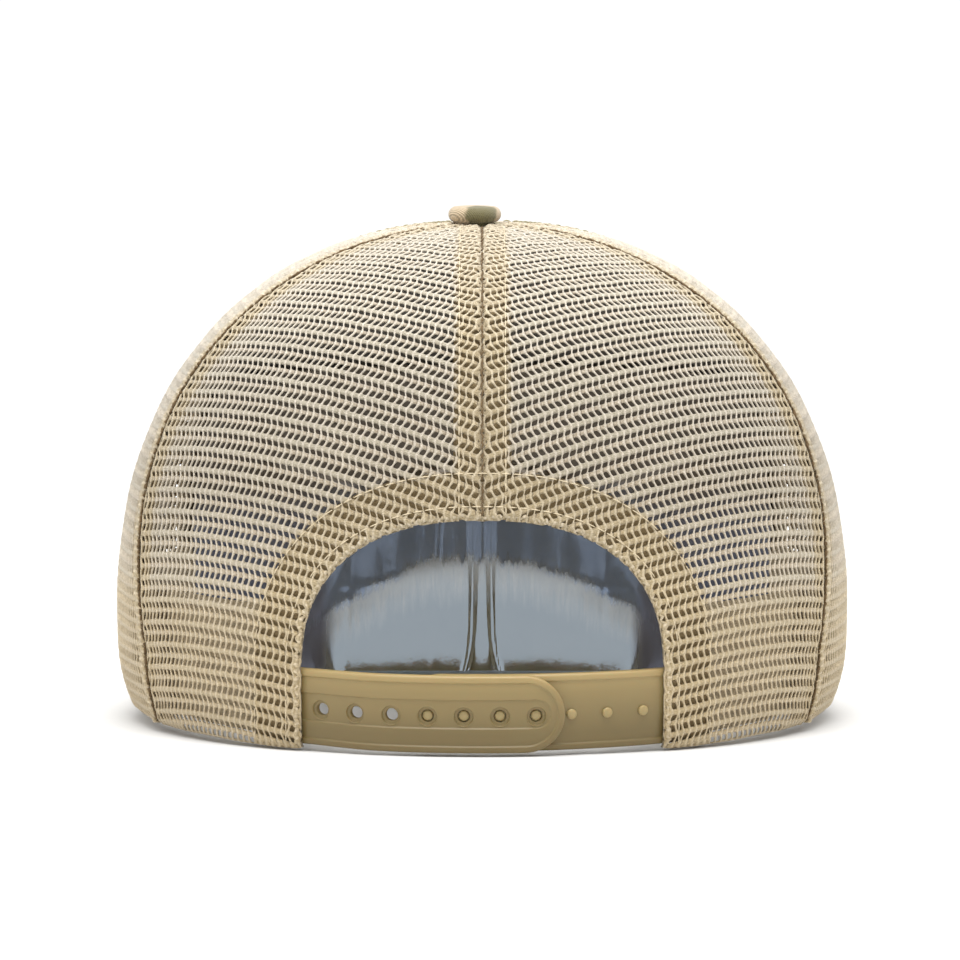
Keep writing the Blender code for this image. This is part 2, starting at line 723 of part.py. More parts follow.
def add_button_shell():
    """Pressed steel cup under the cloth."""
    inset = BUTTON_CLOTH + BUTTON_GAP
    radius = BUTTON_RADIUS - inset
    base = BUTTON_BASE + inset
    outer = dome(radius, base, SHELL_TOP, BUTTON_CORNER - inset)
    inner = dome(radius - SHELL_WALL, base, SHELL_TOP - SHELL_WALL, BUTTON_CORNER - inset - SHELL_WALL)
    add_turned("button_shell", outer + inner[::-1], STEEL)


def add_button_rivet():
    """Rivet from the shell down through the crown into the inner disc."""
    top = SHELL_TOP - SHELL_WALL - BUTTON_GAP
    shoulder = top - RIVET_HEAD_HEIGHT
    foot = DISC_TOP - SOCKET_DEPTH + BUTTON_GAP
    head = [(0, top), (RIVET_HEAD_RADIUS, top), (RIVET_HEAD_RADIUS, shoulder)]
    stem = [(RIVET_RADIUS, shoulder), (RIVET_RADIUS, foot), (0, foot)]
    add_turned("button_rivet", head + stem, STEEL)


def add_button_disc():
    """Plastic disc inside the crown that the rivet is clenched in."""
    socket = RIVET_RADIUS + BUTTON_GAP
    floor = DISC_TOP - SOCKET_DEPTH
    base = DISC_TOP - DISC_HEIGHT
    well = [(0, floor), (socket, floor), (socket, DISC_TOP)]
    body = [(DISC_RADIUS, DISC_TOP), (DISC_RADIUS, base), (0, base)]
    add_turned("button_inner_disc", well + body, BOARD_PLASTIC)


# ---------------------------------------------------------------- stance

def part_points():
    """Corner points of every finished part, in the cap's own frame."""
    bpy.context.view_layer.update()
    depsgraph = bpy.context.evaluated_depsgraph_get()
    points = []
    for part in PARTS.objects:
        if part.type == "MESH":
            body = part.evaluated_get(depsgraph)
            points += [part.matrix_world @ vertex.co for vertex in body.data.vertices]
    return points


def standing_tilt(points):
    """Angle of the floor line that touches the cap's lower side behind and in front."""
    rear = min((p for p in points if p.y < 0), key=lambda p: (round(p.z, 5), p.y))
    front = [p for p in points if p.y > CROWN_HALF_LENGTH / 2]
    return -min(math.atan2(p.z - rear.z, p.y - rear.y) for p in front)


def stand_on_floor():
    """Tilt the cap to stand on the floor with the centre of its box over the origin."""
    STANCE.rotation_euler.x = standing_tilt(part_points())
    points = part_points()
    lows = [min(point[axis] for point in points) for axis in range(3)]
    highs = [max(point[axis] for point in points) for axis in range(3)]
    STANCE.location = (-(lows[0] + highs[0]) / 2, -(lows[1] + highs[1]) / 2, -lows[2])


clear_scene()
PARTS = new_collection("trucker_mesh_cap")
CUTTERS = new_collection("cutters")
STANCE = bpy.data.objects.new("cap_stance", None)
PARTS.objects.link(STANCE)

add_crown()
add_sweatband()
add_shape_insert()
add_visor()
add_straps()
add_button_cover()
add_button_shell()
add_button_rivet()
add_button_disc()
stand_on_floor()
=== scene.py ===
"""Looks of the trucker mesh cap: knitted mesh, twill, stitching, straps and studio over the CAD frame.

Pieces are worked out in the cap's own frame, in metres: +Y is the front, +X the wearer's right and
z = 0 the plane of the rim at the back. Azimuth is the angle about the z axis from the rear centre,
positive towards +X; climb is -1 where the height is 0, 0 at the belly and 1 at the apex. STANCE
takes that frame to the one that the CAD stands in.
"""
import json
import math

import bpy
import numpy as np
from mathutils import Matrix, Vector


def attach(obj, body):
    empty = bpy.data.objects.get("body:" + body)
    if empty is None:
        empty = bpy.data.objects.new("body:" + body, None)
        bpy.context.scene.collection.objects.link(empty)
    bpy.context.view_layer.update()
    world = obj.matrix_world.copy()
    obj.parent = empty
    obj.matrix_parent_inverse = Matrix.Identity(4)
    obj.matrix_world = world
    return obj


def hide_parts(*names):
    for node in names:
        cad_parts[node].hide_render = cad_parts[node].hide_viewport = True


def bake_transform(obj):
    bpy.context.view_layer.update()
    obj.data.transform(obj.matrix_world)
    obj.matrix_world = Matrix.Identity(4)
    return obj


MM = 0.001
FRONT = math.pi

# The crown's outer surface, as in the CAD.
CROWN_HALF_WIDTH = 99 * MM
CROWN_HALF_LENGTH = 98 * MM
CROWN_HEIGHT = 130 * MM
BELLY_HEIGHT = 20 * MM
RIM_INSET_SIDE = 0.045
RIM_INSET_REAR = 0.012
REAR_SQUARENESS = 2.3
FRONT_SQUARENESS = 2.6
PANEL_FLATTENING = 0.06
FLATTENING_RISE = 0.8
PANEL_HOLLOW = 1.2
CENTER_SEAM_HOLLOW = 0.7
REAR_SEAM = math.radians(64)
FRONT_SEAM = math.radians(122)
APEX_RADIUS = 4.8 * MM

# Rear opening and the tape behind its edge.
OPENING_HALF_WIDTH = 47 * MM
OPENING_SPRING = 20 * MM
OPENING_TOP = 60.6 * MM
OPENING_SQUARENESS = 2.35
HEM_WIDTH = 12.5 * MM
CENTER_BAND_HALF = 7.5 * MM
SWEATBAND_TOP = 37 * MM
SWEATBAND_START = math.radians(31)
SWEATBAND_DEPTH = 5.8 * MM
FOAM_SPREAD = math.radians(74)

# Straps.
STRAP_BOTTOM = 1.0 * MM
STRAP_HEIGHT = 20 * MM
STRAP_THICKNESS = 1.6 * MM
STRAP_GAP = 0.3 * MM
ROOT_DEPTH = 2.6 * MM
ROOT_END = 56 * MM
OUTER_STRAP_DEPTH = 1.0 * MM
STRAP_TIP = 21 * MM
STRAP_BLEND_LENGTH = 22 * MM
HOLE_COUNT = 7
HOLE_PITCH = 9.3 * MM
LAST_HOLE_X = 13.8 * MM
FIRST_PEG_X = -14.1 * MM
CHANNEL_HALF = 3.65 * MM
CHANNEL_RISE = 0.2 * MM

# Visor.
VISOR_SPREAD = math.radians(72)
VISOR_HALF_WIDTH = 94.5 * MM
VISOR_CORNER_Y = 30 * MM
VISOR_REACH = 137 * MM
VISOR_SQUARENESS = 2.3
VISOR_BEND = 15 * MM
VISOR_SLOPE = 0.105
VISOR_CLEARANCE = 0.7 * MM
VISOR_TOP = 2.35 * MM
VISOR_OVERHANG = 1.4 * MM

# Button.
BUTTON_X = -2.0 * MM
BUTTON_RADIUS = 7.1 * MM
BUTTON_BASE = 130.3 * MM
BUTTON_HEIGHT = 4.5 * MM
DISC_BASE = 125 * MM

# Insert.
INSERT_SPREAD = math.radians(60)
INSERT_FOOT = -5.5 * MM
INSERT_TOP = 88 * MM
INSERT_DEPTH = 7.3 * MM
FILM_KNEE = 28 * MM
FILM_REACH = 84.6 * MM
FILM_LEAN = 0.13
FILM_UPPER_LEAN = 0.21
FILM_RADIUS = 197 * MM
FILM_HALF_WIDTH = 45 * MM
FILM_RISE_SPAN = 40 * MM
FILM_KNEE_DROP = 16 * MM

# The knit: its thickness, and how its rows sink from the level azimuth to the rear centre.
MESH_THICKNESS = 0.8 * MM
ROW_DROP = 18.5 * MM
LEVEL_AZIMUTH = 0.82

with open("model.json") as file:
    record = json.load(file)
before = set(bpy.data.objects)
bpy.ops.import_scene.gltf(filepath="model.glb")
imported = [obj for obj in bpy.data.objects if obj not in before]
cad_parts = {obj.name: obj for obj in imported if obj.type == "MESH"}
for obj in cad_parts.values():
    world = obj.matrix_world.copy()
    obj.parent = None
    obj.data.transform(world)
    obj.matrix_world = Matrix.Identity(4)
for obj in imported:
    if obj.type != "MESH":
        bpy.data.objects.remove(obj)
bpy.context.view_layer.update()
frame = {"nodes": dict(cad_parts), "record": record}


def stance_matrix():
    """Matrix from the cap's own frame to the CAD's, read off the rest inside the crown."""
    rest = frame["record"]["mounts"][0]
    turn = Matrix.Rotation(math.atan2(rest["axis"][1], -rest["axis"][2]), 4, "X")
    return Matrix.Translation(Vector(rest["pos_m"]) - turn @ Vector((BUTTON_X, 0, DISC_BASE))) @ turn


STANCE = stance_matrix()
CHANCE = np.random.default_rng(7)


# ---------------------------------------------------------------- crown surface

def visor_height(x, y):
    """Height of the visor's middle layer, bowed across and sloping down to the front."""
    return VISOR_BEND * (1 - (x / VISOR_HALF_WIDTH) ** 2) - VISOR_SLOPE * (y - VISOR_CORNER_Y)


def rim_height(azimuth):
    """Height of the crown's lower edge, which the visor lifts in front."""
    x = CROWN_HALF_WIDTH * np.sin(azimuth)
    y = -CROWN_HALF_LENGTH * np.cos(azimuth)
    return np.where(y < VISOR_CORNER_Y, 0.0, np.maximum(0.0, visor_height(x, y)))


def squareness(azimuth):
    """Exponent of the crown's profile, squarer in front."""
    frontness = np.maximum(0.0, -np.cos(azimuth)) ** 2
    return REAR_SQUARENESS + (FRONT_SQUARENESS - REAR_SQUARENESS) * frontness


def fullness(azimuth, climb):
    """Factor on the radius that flattens the panels between their seams."""
    turned = np.abs((azimuth + math.pi) % (2 * math.pi) - math.pi)
    side = (turned - REAR_SEAM) / (FRONT_SEAM - REAR_SEAM)
    share = np.minimum(turned / REAR_SEAM, (FRONT - turned) / (FRONT - FRONT_SEAM))
    hollow = np.where((turned > REAR_SEAM) & (turned < FRONT_SEAM), 4 * side * (1 - side),
                      (CENTER_SEAM_HOLLOW + PANEL_HOLLOW * share) * (1 - share))
    flattening = PANEL_FLATTENING * np.sin(math.pi * np.clip(climb, 0, 1) ** FLATTENING_RISE)
    return (1 - flattening * hollow) / (1 - flattening)


def surface(azimuth, climb):
    """Points on the crown's outer surface."""
    azimuth, climb = np.broadcast_arrays(np.asarray(azimuth, float), np.asarray(climb, float))
    inset = RIM_INSET_REAR + (RIM_INSET_SIDE - RIM_INSET_REAR) * np.sin(azimuth) ** 2
    power = 2 / squareness(azimuth)
    angle = np.clip(climb, 0, 1) * math.pi / 2
    low = climb < 0
    reach = np.where(low, 1 - inset * climb ** 2, np.cos(angle) ** power) * fullness(azimuth, climb)
    rise = BELLY_HEIGHT + (CROWN_HEIGHT - BELLY_HEIGHT) * np.sin(angle) ** power
    height = np.where(low, BELLY_HEIGHT * (1 + climb), rise)
    x = CROWN_HALF_WIDTH * reach * np.sin(azimuth)
    y = -CROWN_HALF_LENGTH * reach * np.cos(azimuth)
    return np.stack([x, y, height], -1)


def normal(azimuth, climb):
    """Outward directions of the crown's surface."""
    step = 0.004
    top = np.minimum(np.asarray(climb) + step, 0.999)
    across = surface(azimuth + step, climb) - surface(azimuth - step, climb)
    upward = surface(azimuth, top) - surface(azimuth, top - 2 * step)
    out = np.cross(across, upward)
    return out / np.maximum(np.linalg.norm(out, axis=-1, keepdims=True), 1e-12)


def crown(azimuth, climb, depth=0.0):
    """Points at a depth under the crown's outer surface."""
    depth = np.asarray(depth)[..., None] if np.ndim(depth) else depth
    return surface(azimuth, climb) - depth * normal(azimuth, climb)


def climb_at_height(azimuth, height):
    """Climb at which the crown reaches a height."""
    share = np.clip((height - BELLY_HEIGHT) / (CROWN_HEIGHT - BELLY_HEIGHT), 0, 1)
    upper = np.arcsin(share ** (squareness(azimuth) / 2)) * 2 / math.pi
    return np.where(height < BELLY_HEIGHT, height / BELLY_HEIGHT - 1, upper)


def climb_at_radius(azimuth, radius):
    """Climb at which the crown has closed to a radius about its axis."""
    reach = radius / CROWN_HALF_WIDTH
    return np.arccos(reach ** (squareness(azimuth) / 2)) * 2 / math.pi


def rear_azimuth(x, height):
    """Azimuth at which the back of the crown has an x and a height."""
    azimuth = np.zeros(np.broadcast(x, height).shape)
    nudge = 1e-4
    for _ in range(8):
        spot = surface(azimuth + nudge, climb_at_height(azimuth, height))
        scale = spot[..., 0] / np.sin(azimuth + nudge)
        azimuth = np.arcsin(np.clip(x / scale, -1, 1))
    return azimuth


def rear_point(x, height, depth):
    """Points at a depth under the back of the crown, over an x and a height."""
    azimuth = rear_azimuth(x, height)
    return crown(azimuth, climb_at_height(azimuth, height), depth)


# ---------------------------------------------------------------- lengths along the crown

ARC_AZIMUTHS = np.linspace(-0.1, math.pi + 0.1, 90)
ARC_CLIMBS = np.linspace(-1, 1, 400)
ARC_STEP = 0.5 * MM


def arc_tables():
    """Climb at each distance up each meridian from height 0, and the meridian's whole length."""
    points = surface(ARC_AZIMUTHS[:, None], ARC_CLIMBS[None, :])
    steps = np.linalg.norm(np.diff(points, axis=1), axis=-1)
    lengths = np.concatenate([np.zeros((len(points), 1)), np.cumsum(steps, axis=1)], axis=1)
    marks = np.arange(0, lengths.max() + ARC_STEP, ARC_STEP)
    climbs = np.array([np.interp(marks, row, ARC_CLIMBS) for row in lengths])
    return lengths, climbs


ARC_LENGTHS, ARC_TABLE = arc_tables()


def look_up(table, azimuth, column):
    """Value in a table with a row per azimuth; the crown is the same on both sides."""
    row = np.interp(np.abs(azimuth), ARC_AZIMUTHS, np.arange(len(ARC_AZIMUTHS)))
    i = np.minimum(row.astype(int), table.shape[0] - 2)
    j = np.minimum(column.astype(int), table.shape[1] - 2)
    a, b = row - i, column - j
    low = table[i, j] * (1 - b) + table[i, j + 1] * b
    high = table[i + 1, j] * (1 - b) + table[i + 1, j + 1] * b
    return low * (1 - a) + high * a


def climb_at_arc(azimuth, arc):
    """Climb at a distance up the meridian."""
    return look_up(ARC_TABLE, azimuth, np.clip(arc / ARC_STEP, 0, ARC_TABLE.shape[1] - 1.001))


def arc_at_climb(azimuth, climb):
    """Distance up the meridian at a climb."""
    return look_up(ARC_LENGTHS, azimuth, np.interp(climb, ARC_CLIMBS, np.arange(len(ARC_CLIMBS))))


# ---------------------------------------------------------------- pieces

def hump(distance, width):
    """1 where the distance is 0, falling off smoothly on both sides over about the width."""
    return np.exp(-(distance / width) ** 2)


def spans(columns, rows, across=(0, 1), up=(0, 1)):
    """Even values across a grid, as one row, and up it, as one column."""
    return np.linspace(*across, columns + 1)[None, :], np.linspace(*up, rows + 1)[:, None]


def add_object(name, data):
    """New object in the scene."""
    made = bpy.data.objects.new(name, data)
    bpy.context.scene.collection.objects.link(made)
    return made


def add_values(mesh, name, values):
    """Attribute of a mesh with a value for each point."""
    attribute = mesh.attributes.new(name, "FLOAT", "POINT")
    attribute.data.foreach_set("value", np.ravel(values).astype(np.float32))


def add_piece(name, points, faces, material, body="crown", coords=None, tones=None):
    """Mesh piece in the cap's frame; coords are cloth coordinates and tones a value per point."""
    mesh = bpy.data.meshes.new(name)
    faces = faces.tolist() if isinstance(faces, np.ndarray) else faces
    mesh.from_pydata(np.reshape(points, (-1, 3)).tolist(), [], faces)
    if coords is not None:
        corners = np.zeros(len(mesh.loops), int)
        mesh.loops.foreach_get("vertex_index", corners)
        layer = mesh.uv_layers.new(name="cloth")
        layer.data.foreach_set("uv", np.reshape(coords, (-1, 2))[corners].astype(np.float32).ravel())
    if tones is not None:
        add_values(mesh, "tone", tones)
    mesh.shade_smooth()
    mesh.transform(STANCE)
    mesh.materials.append(material)
    piece = add_object(name, mesh)
    if body:
        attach(piece, body)
    return piece


def grid_faces(rows, columns, first=0):
    """Quads of a grid of points, facing out where rows go up and columns go right."""
    corner = first + np.arange(rows - 1)[:, None] * columns + np.arange(columns - 1)[None, :]
    return np.stack([corner, corner + 1, corner + columns + 1, corner + columns], -1).reshape(-1, 4)


def closed_faces(rows, columns):
    """Quads round two grids of points, the first facing back and the second facing out."""
    count = rows * columns
    index = np.arange(count).reshape(rows, columns)
    loop = np.concatenate([index[0, :-1], index[:-1, -1], index[-1, :0:-1], index[:0:-1, 0]])
    follow = np.roll(loop, -1)
    rim = np.stack([loop, follow, follow + count, loop + count], -1)
    return np.concatenate([grid_faces(rows, columns)[:, ::-1], grid_faces(rows, columns, count), rim])


def ring_faces(index):
    """Quads between neighbouring rings of points, given by their numbers; the last axis runs round."""
    around = np.roll(index, -1, axis=-1)
    quads = [index[..., :-1, :], index[..., 1:, :], around[..., 1:, :], around[..., :-1, :]]
    return np.stack(quads, -1).reshape(-1, 4)


def joined(parts):
    """Points and faces of several meshes as one mesh."""
    points, faces = zip(*parts)
    firsts = np.cumsum([0] + [len(made) for made in points[:-1]])
    return np.concatenate(points), np.concatenate([quads + first for quads, first in zip(faces, firsts)])


def handed(side, points, faces):
    """The points and faces of a piece on the right, mirrored where side is -1."""
    if side > 0:
        return points, faces
    return points * (-1, 1, 1), faces[:, ::-1]


def add_shell(name, front, back, material):
    """Piece closed between two grids of points; front is the side that faces the cap's middle."""
    points = np.stack([front, back])
    return add_piece(name, points, closed_faces(*front.shape[:2]), material)


def add_thickness(piece, thickness):
    """Thickness of a sheet, inwards from its face."""
    solidify = piece.modifiers.new("thickness", "SOLIDIFY")
    solidify.thickness = thickness
    solidify.offset = -1
    solidify.use_even_offset = True


# ---------------------------------------------------------------- knitted mesh

# Repeat of the knit, from the middle of one flat web to the next: a row of upright holes, a ribbed
# web where the strands turn over, and a row of leaning holes.
HOLE_STEP = 1.95 * MM
REPEAT = 5.9 * MM
TURNING = 2.75 * MM
CREST_DEPTH = 0.04 * MM
WEB_DEPTH = 0.12 * MM
SHOULDER_DEPTH = 0.13 * MM
EDGE_DEPTH = 0.42 * MM
SHOULDER_SHARE = 0.58
STRAND_REACH = 0.85
HOLE_VARIATION = 0.05
# How far past a panel's edge cells are made, and how far inside it a hole stays.
EDGE_REACH = 0.75 * MM
EDGE_MARGIN = 0.25 * MM
# How far from a seam the tape behind it yellows the knit, partly as the tape's own colour showing and partly
# as painted light, and over what width that fades.
SEAM_TAPE_SHOWS = 5.5 * MM
YELLOW_FADE = 1.2 * MM
# Each row's height of the hole's middle, half width, half height, lean and share of width at the top.
UPRIGHT_HOLE = (1.60 * MM, 0.68 * MM, 0.86 * MM, -0.38, 0.80)
LEANING_HOLE = (4.38 * MM, 0.76 * MM, 0.62 * MM, 0.46, 1.0)


def zigzag(v):
    """How far the strands have shifted along the row at a height in the cloth."""
    height = v % REPEAT
    swing = np.where(height < TURNING, height / TURNING, (REPEAT - height) / (REPEAT - TURNING))
    return -swing * HOLE_STEP / 2


def hole_ring(half_width, half_height, lean, top_share):
    """The 12 points round a hole, from its lower left."""
    corner, side = 0.66, 0.6
    across = np.array([-corner, 0, corner, 1, 1, 1, corner, 0, -corner, -1, -1, -1])
    up = np.array([-1, -1, -1, -side, 0, side, 1, 1, 1, side, 0, -side])
    taper = 1 - (1 - top_share) * np.clip(up, 0, 1)
    return across * taper * half_width + lean * up * half_height, up * half_height


def knit_lattice(columns, repeats, first):
    """Cloth coordinates and depths of the strands and webs, and the cells between them.

    Each cell has 12 border points, shared with its neighbours, and 12 points round its hole.
    """
    half = HOLE_STEP / 2
    steps = np.arange(-2 * columns - 2, 2 * columns + 3)
    lines = first * REPEAT + np.concatenate([[k * REPEAT, k * REPEAT + TURNING] for k in range(repeats + 1)])
    index = np.arange(len(lines) * len(steps)).reshape(len(lines), len(steps))
    points = [(np.tile(steps * half, len(lines)), np.repeat(lines, len(steps)),
               np.full(index.size, WEB_DEPTH))]
    count = index.size
    cells = []
    for row in range(len(lines) - 1):
        leaning = row % 2
        shift = 1 if leaning else -1
        middle, *shape = LEANING_HOLE if leaning else UPRIGHT_HOLE
        centre_v = lines[row - leaning] + middle
        starts = np.arange(-2 * columns + leaning, 2 * columns - 1, 2)
        levels = centre_v + np.array([-STRAND_REACH, 0, STRAND_REACH]) * shape[1]
        rise = (levels - lines[row]) / (lines[row + 1] - lines[row])
        strand_u = starts[:, None] * half + shift * half * rise
        strand = count + np.arange(strand_u.size).reshape(strand_u.shape)
        points.append((strand_u.ravel(), np.tile(levels, len(starts)), np.full(strand_u.size, CREST_DEPTH)))
        count += strand_u.size
        low = starts[:-1] - steps[0]
        high = low + shift
        border = np.stack([
            index[row, low], index[row, low + 1], index[row, low + 2],
            strand[1:, 0], strand[1:, 1], strand[1:, 2],
            index[row + 1, high + 2], index[row + 1, high + 1], index[row + 1, high],
            strand[:-1, 2], strand[:-1, 1], strand[:-1, 0]], -1)
        ring_u, ring_v = hole_ring(*shape)
        cells.append((border, strand_u[:-1, 1] + half, np.full(len(low), centre_v),
                      np.tile(ring_u, (len(low), 1)), np.tile(ring_v, (len(low), 1))))
    return [[np.concatenate(part) for part in zip(*parts)] for parts in (points, cells)]


def opening_excess(x, height):
    """How far outside the rear opening a point is: below 0 inside, 0 on its edge."""
    up = np.maximum(height - OPENING_SPRING, 0) / (OPENING_TOP - OPENING_SPRING)
    across = np.abs(x) / OPENING_HALF_WIDTH
    return (across ** OPENING_SQUARENESS + up ** OPENING_SQUARENESS) ** (1 / OPENING_SQUARENESS) - 1


def row_drop(azimuth):
    """How much lower a row of the knit runs at the belly, as it sinks towards the rear centre."""
    share = np.minimum(np.abs(azimuth), REAR_SEAM) / LEVEL_AZIMUTH
    return ROW_DROP * (2 * share - share * share)


def cloth_to_crown(u, v, middle):
    """Azimuth and arc up the meridian of cloth coordinates round a panel's middle meridian."""
    azimuth = np.full(u.shape, middle)
    radius = np.full(u.shape, CROWN_HALF_WIDTH)
    for _ in range(8):
        arc = v + row_drop(azimuth) * radius / CROWN_HALF_WIDTH
        climb = np.clip(climb_at_arc(azimuth, arc), -1, 0.985)
        spot = surface(azimuth, climb)
        radius = np.maximum(np.hypot(spot[..., 0], spot[..., 1]), 1.5 * MM)
        azimuth = middle + np.clip(u / radius, -0.9, 0.9)
    return azimuth, arc


def on_panel(panel, u, v, margin):
    """Whether cloth points lie on a panel, a margin inside its edges."""
    start, end, opening = panel
    azimuth, arc = cloth_to_crown(u, v, (start + end) / 2)
    climb = climb_at_arc(azimuth, arc)
    spot = surface(azimuth, np.clip(climb, -1, 1))
    radius = np.maximum(np.hypot(spot[..., 0], spot[..., 1]), 0.1 * MM)
    fits = ((azimuth - start) * radius > margin) & ((end - azimuth) * radius > margin)
    fits &= (arc > margin) & (radius > APEX_RADIUS + margin) & (climb < 0.995)
    if opening:
        fits &= opening_excess(spot[..., 0], spot[..., 2]) * OPENING_HALF_WIDTH > margin
    return fits


def panel_cells(panel):
    """The strands on a panel, the border of each of its cells, and the cells' holes.

    A cell that the panel's edge cuts has its hole closed to a point.
    """
    start, end, _ = panel
    middle = (start + end) / 2
    columns = int(np.ceil((end - start) / 2 * CROWN_HALF_WIDTH * 1.12 / HOLE_STEP)) + 2
    top_arc = float(arc_at_climb(middle, climb_at_radius(middle, APEX_RADIUS)))
    first = -int(ROW_DROP / REPEAT) - 1
    lines, cells = knit_lattice(columns, int(np.ceil(top_arc / REPEAT)) - first, first)
    touched = on_panel(panel, cells[1], cells[2], -EDGE_REACH)
    border, cell_u, cell_v, hole_u, hole_v = (part[touched] for part in cells)
    cell_u, cell_v = cell_u[:, None], cell_v[:, None]
    full = on_panel(panel, cell_u + hole_u, cell_v + hole_v, EDGE_MARGIN).all(axis=1)
    size = np.where(full, CHANCE.normal(1.0, HOLE_VARIATION, len(full)), 0.0)[:, None]
    used, border = np.unique(border, return_inverse=True)
    lines = [part[used] for part in lines]
    return lines, border.reshape(-1, 12), (cell_u + hole_u * size, cell_v + hole_v * size)


def knit_faces(border, count):
    """Quads over each cell's shoulder, into its hole and along its back, and round the panel's rim.

    The points are the strands in front, the strands at the back, the holes' rings and the shoulders.
    """
    ring = 2 * count + np.arange(border.size).reshape(border.shape)
    shoulder = ring + border.size
    faces = []
    for outer, inner in ((border, shoulder), (shoulder, ring), (ring, border + count)):
        quads = [outer, np.roll(outer, -1, axis=1), np.roll(inner, -1, axis=1), inner]
        faces.append(np.stack(quads, -1).reshape(-1, 4))
    edges = np.stack([border, np.roll(border, -1, axis=1)], -1).reshape(-1, 2)
    _, firsts, uses = np.unique(np.sort(edges, axis=1), axis=0, return_index=True, return_counts=True)
    starts, ends = edges[firsts[uses == 1]].T
    faces.append(np.stack([ends, starts, starts + count, ends + count], -1))
    return np.concatenate(faces)


def knit_panel(name, side, panel, node):
    """A panel of knitted mesh between two seams, in cells round real holes.

    side is -1 on the left. panel is the azimuths where it starts and ends on the right, from where it
    is mirrored, and whether the rear opening is cut out of it.
    """
    (line_u, line_v, line_depth), border, (ring_u, ring_v) = panel_cells(panel)
    shoulder_u = line_u[border] * (1 - SHOULDER_SHARE) + ring_u * SHOULDER_SHARE
    shoulder_v = line_v[border] * (1 - SHOULDER_SHARE) + ring_v * SHOULDER_SHARE
    count = len(line_u)
    u = np.concatenate([line_u, line_u, ring_u.ravel(), shoulder_u.ravel()])
    v = np.concatenate([line_v, line_v, ring_v.ravel(), shoulder_v.ravel()])
    depth = np.concatenate([line_depth, np.full(count, MESH_THICKNESS), np.full(border.size, EDGE_DEPTH),
                            np.full(border.size, SHOULDER_DEPTH)])
    points, tones = place_cloth(panel, u, v, depth)
    points, faces = handed(side, points, knit_faces(border, count))
    coords = np.stack([(u - zigzag(v)) / HOLE_STEP, v / REPEAT], -1)
    piece = add_piece(name, points, faces, KNIT, coords=coords, tones=tones)
    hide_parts(node)
    return piece


def place_cloth(panel, u, v, depth):
    """Points of a panel on the right, kept within its edges, and how yellow its backing makes it, partly by
    the backing's own colour and partly as painted light.
    """
    start, end, opening = panel
    azimuth, arc = cloth_to_crown(u, v, (start + end) / 2)
    azimuth = np.clip(azimuth, start, end)
    top = arc_at_climb(azimuth, climb_at_radius(azimuth, APEX_RADIUS))
    arc = np.clip(arc, 0, top)
    climb = climb_at_arc(azimuth, arc)
    spot = surface(azimuth, climb)
    if opening:
        excess = opening_excess(spot[:, 0], spot[:, 2])
        within = excess < 0
        grow = 1 / (1 + excess[within])
        x = spot[within, 0] * grow
        over = np.maximum(spot[within, 2] - OPENING_SPRING, 0)
        height = np.where(over > 0, OPENING_SPRING + over * grow, spot[within, 2])
        azimuth[within] = rear_azimuth(x, height)
        climb[within] = climb_at_height(azimuth[within], height)
        spot = surface(azimuth, climb)
    radius = np.hypot(spot[:, 0], spot[:, 1])
    seam = np.minimum((azimuth - start) * radius, (end - azimuth) * radius)
    pucker = 1 + 0.35 * np.sin(arc / (1.3 * MM))
    groove = 0.85 * MM * hump(seam, 0.9 * MM) * pucker
    swell = 0.30 * MM * hump(seam - 2.2 * MM, 1.3 * MM) * pucker
    fold = 0.8 * MM * hump(arc, 1.0 * MM)
    wave = 0.18 * MM * np.sin(azimuth * 23 + arc * 90) * np.sin(azimuth * 9 - arc * 130)
    # Painted light, in part: how far the tape and sweatband behind tint the knit tan.
    yellow = hump(np.maximum(seam - SEAM_TAPE_SHOWS, 0), YELLOW_FADE)
    if opening:
        edge = opening_excess(spot[:, 0], spot[:, 2]) * OPENING_HALF_WIDTH
        fold += 0.7 * MM * hump(edge, 0.9 * MM)
        yellow = np.maximum(yellow, hump(np.maximum(edge - HEM_WIDTH * 0.95, 0), YELLOW_FADE))
    low = np.clip((SWEATBAND_TOP + 4 * MM - spot[:, 2]) / (8 * MM), 0, 1)
    yellow = np.maximum(yellow, 0.75 * low)
    points = crown(azimuth, climb, depth + groove - swell + fold + wave)
    return points, yellow


# ---------------------------------------------------------------- materials

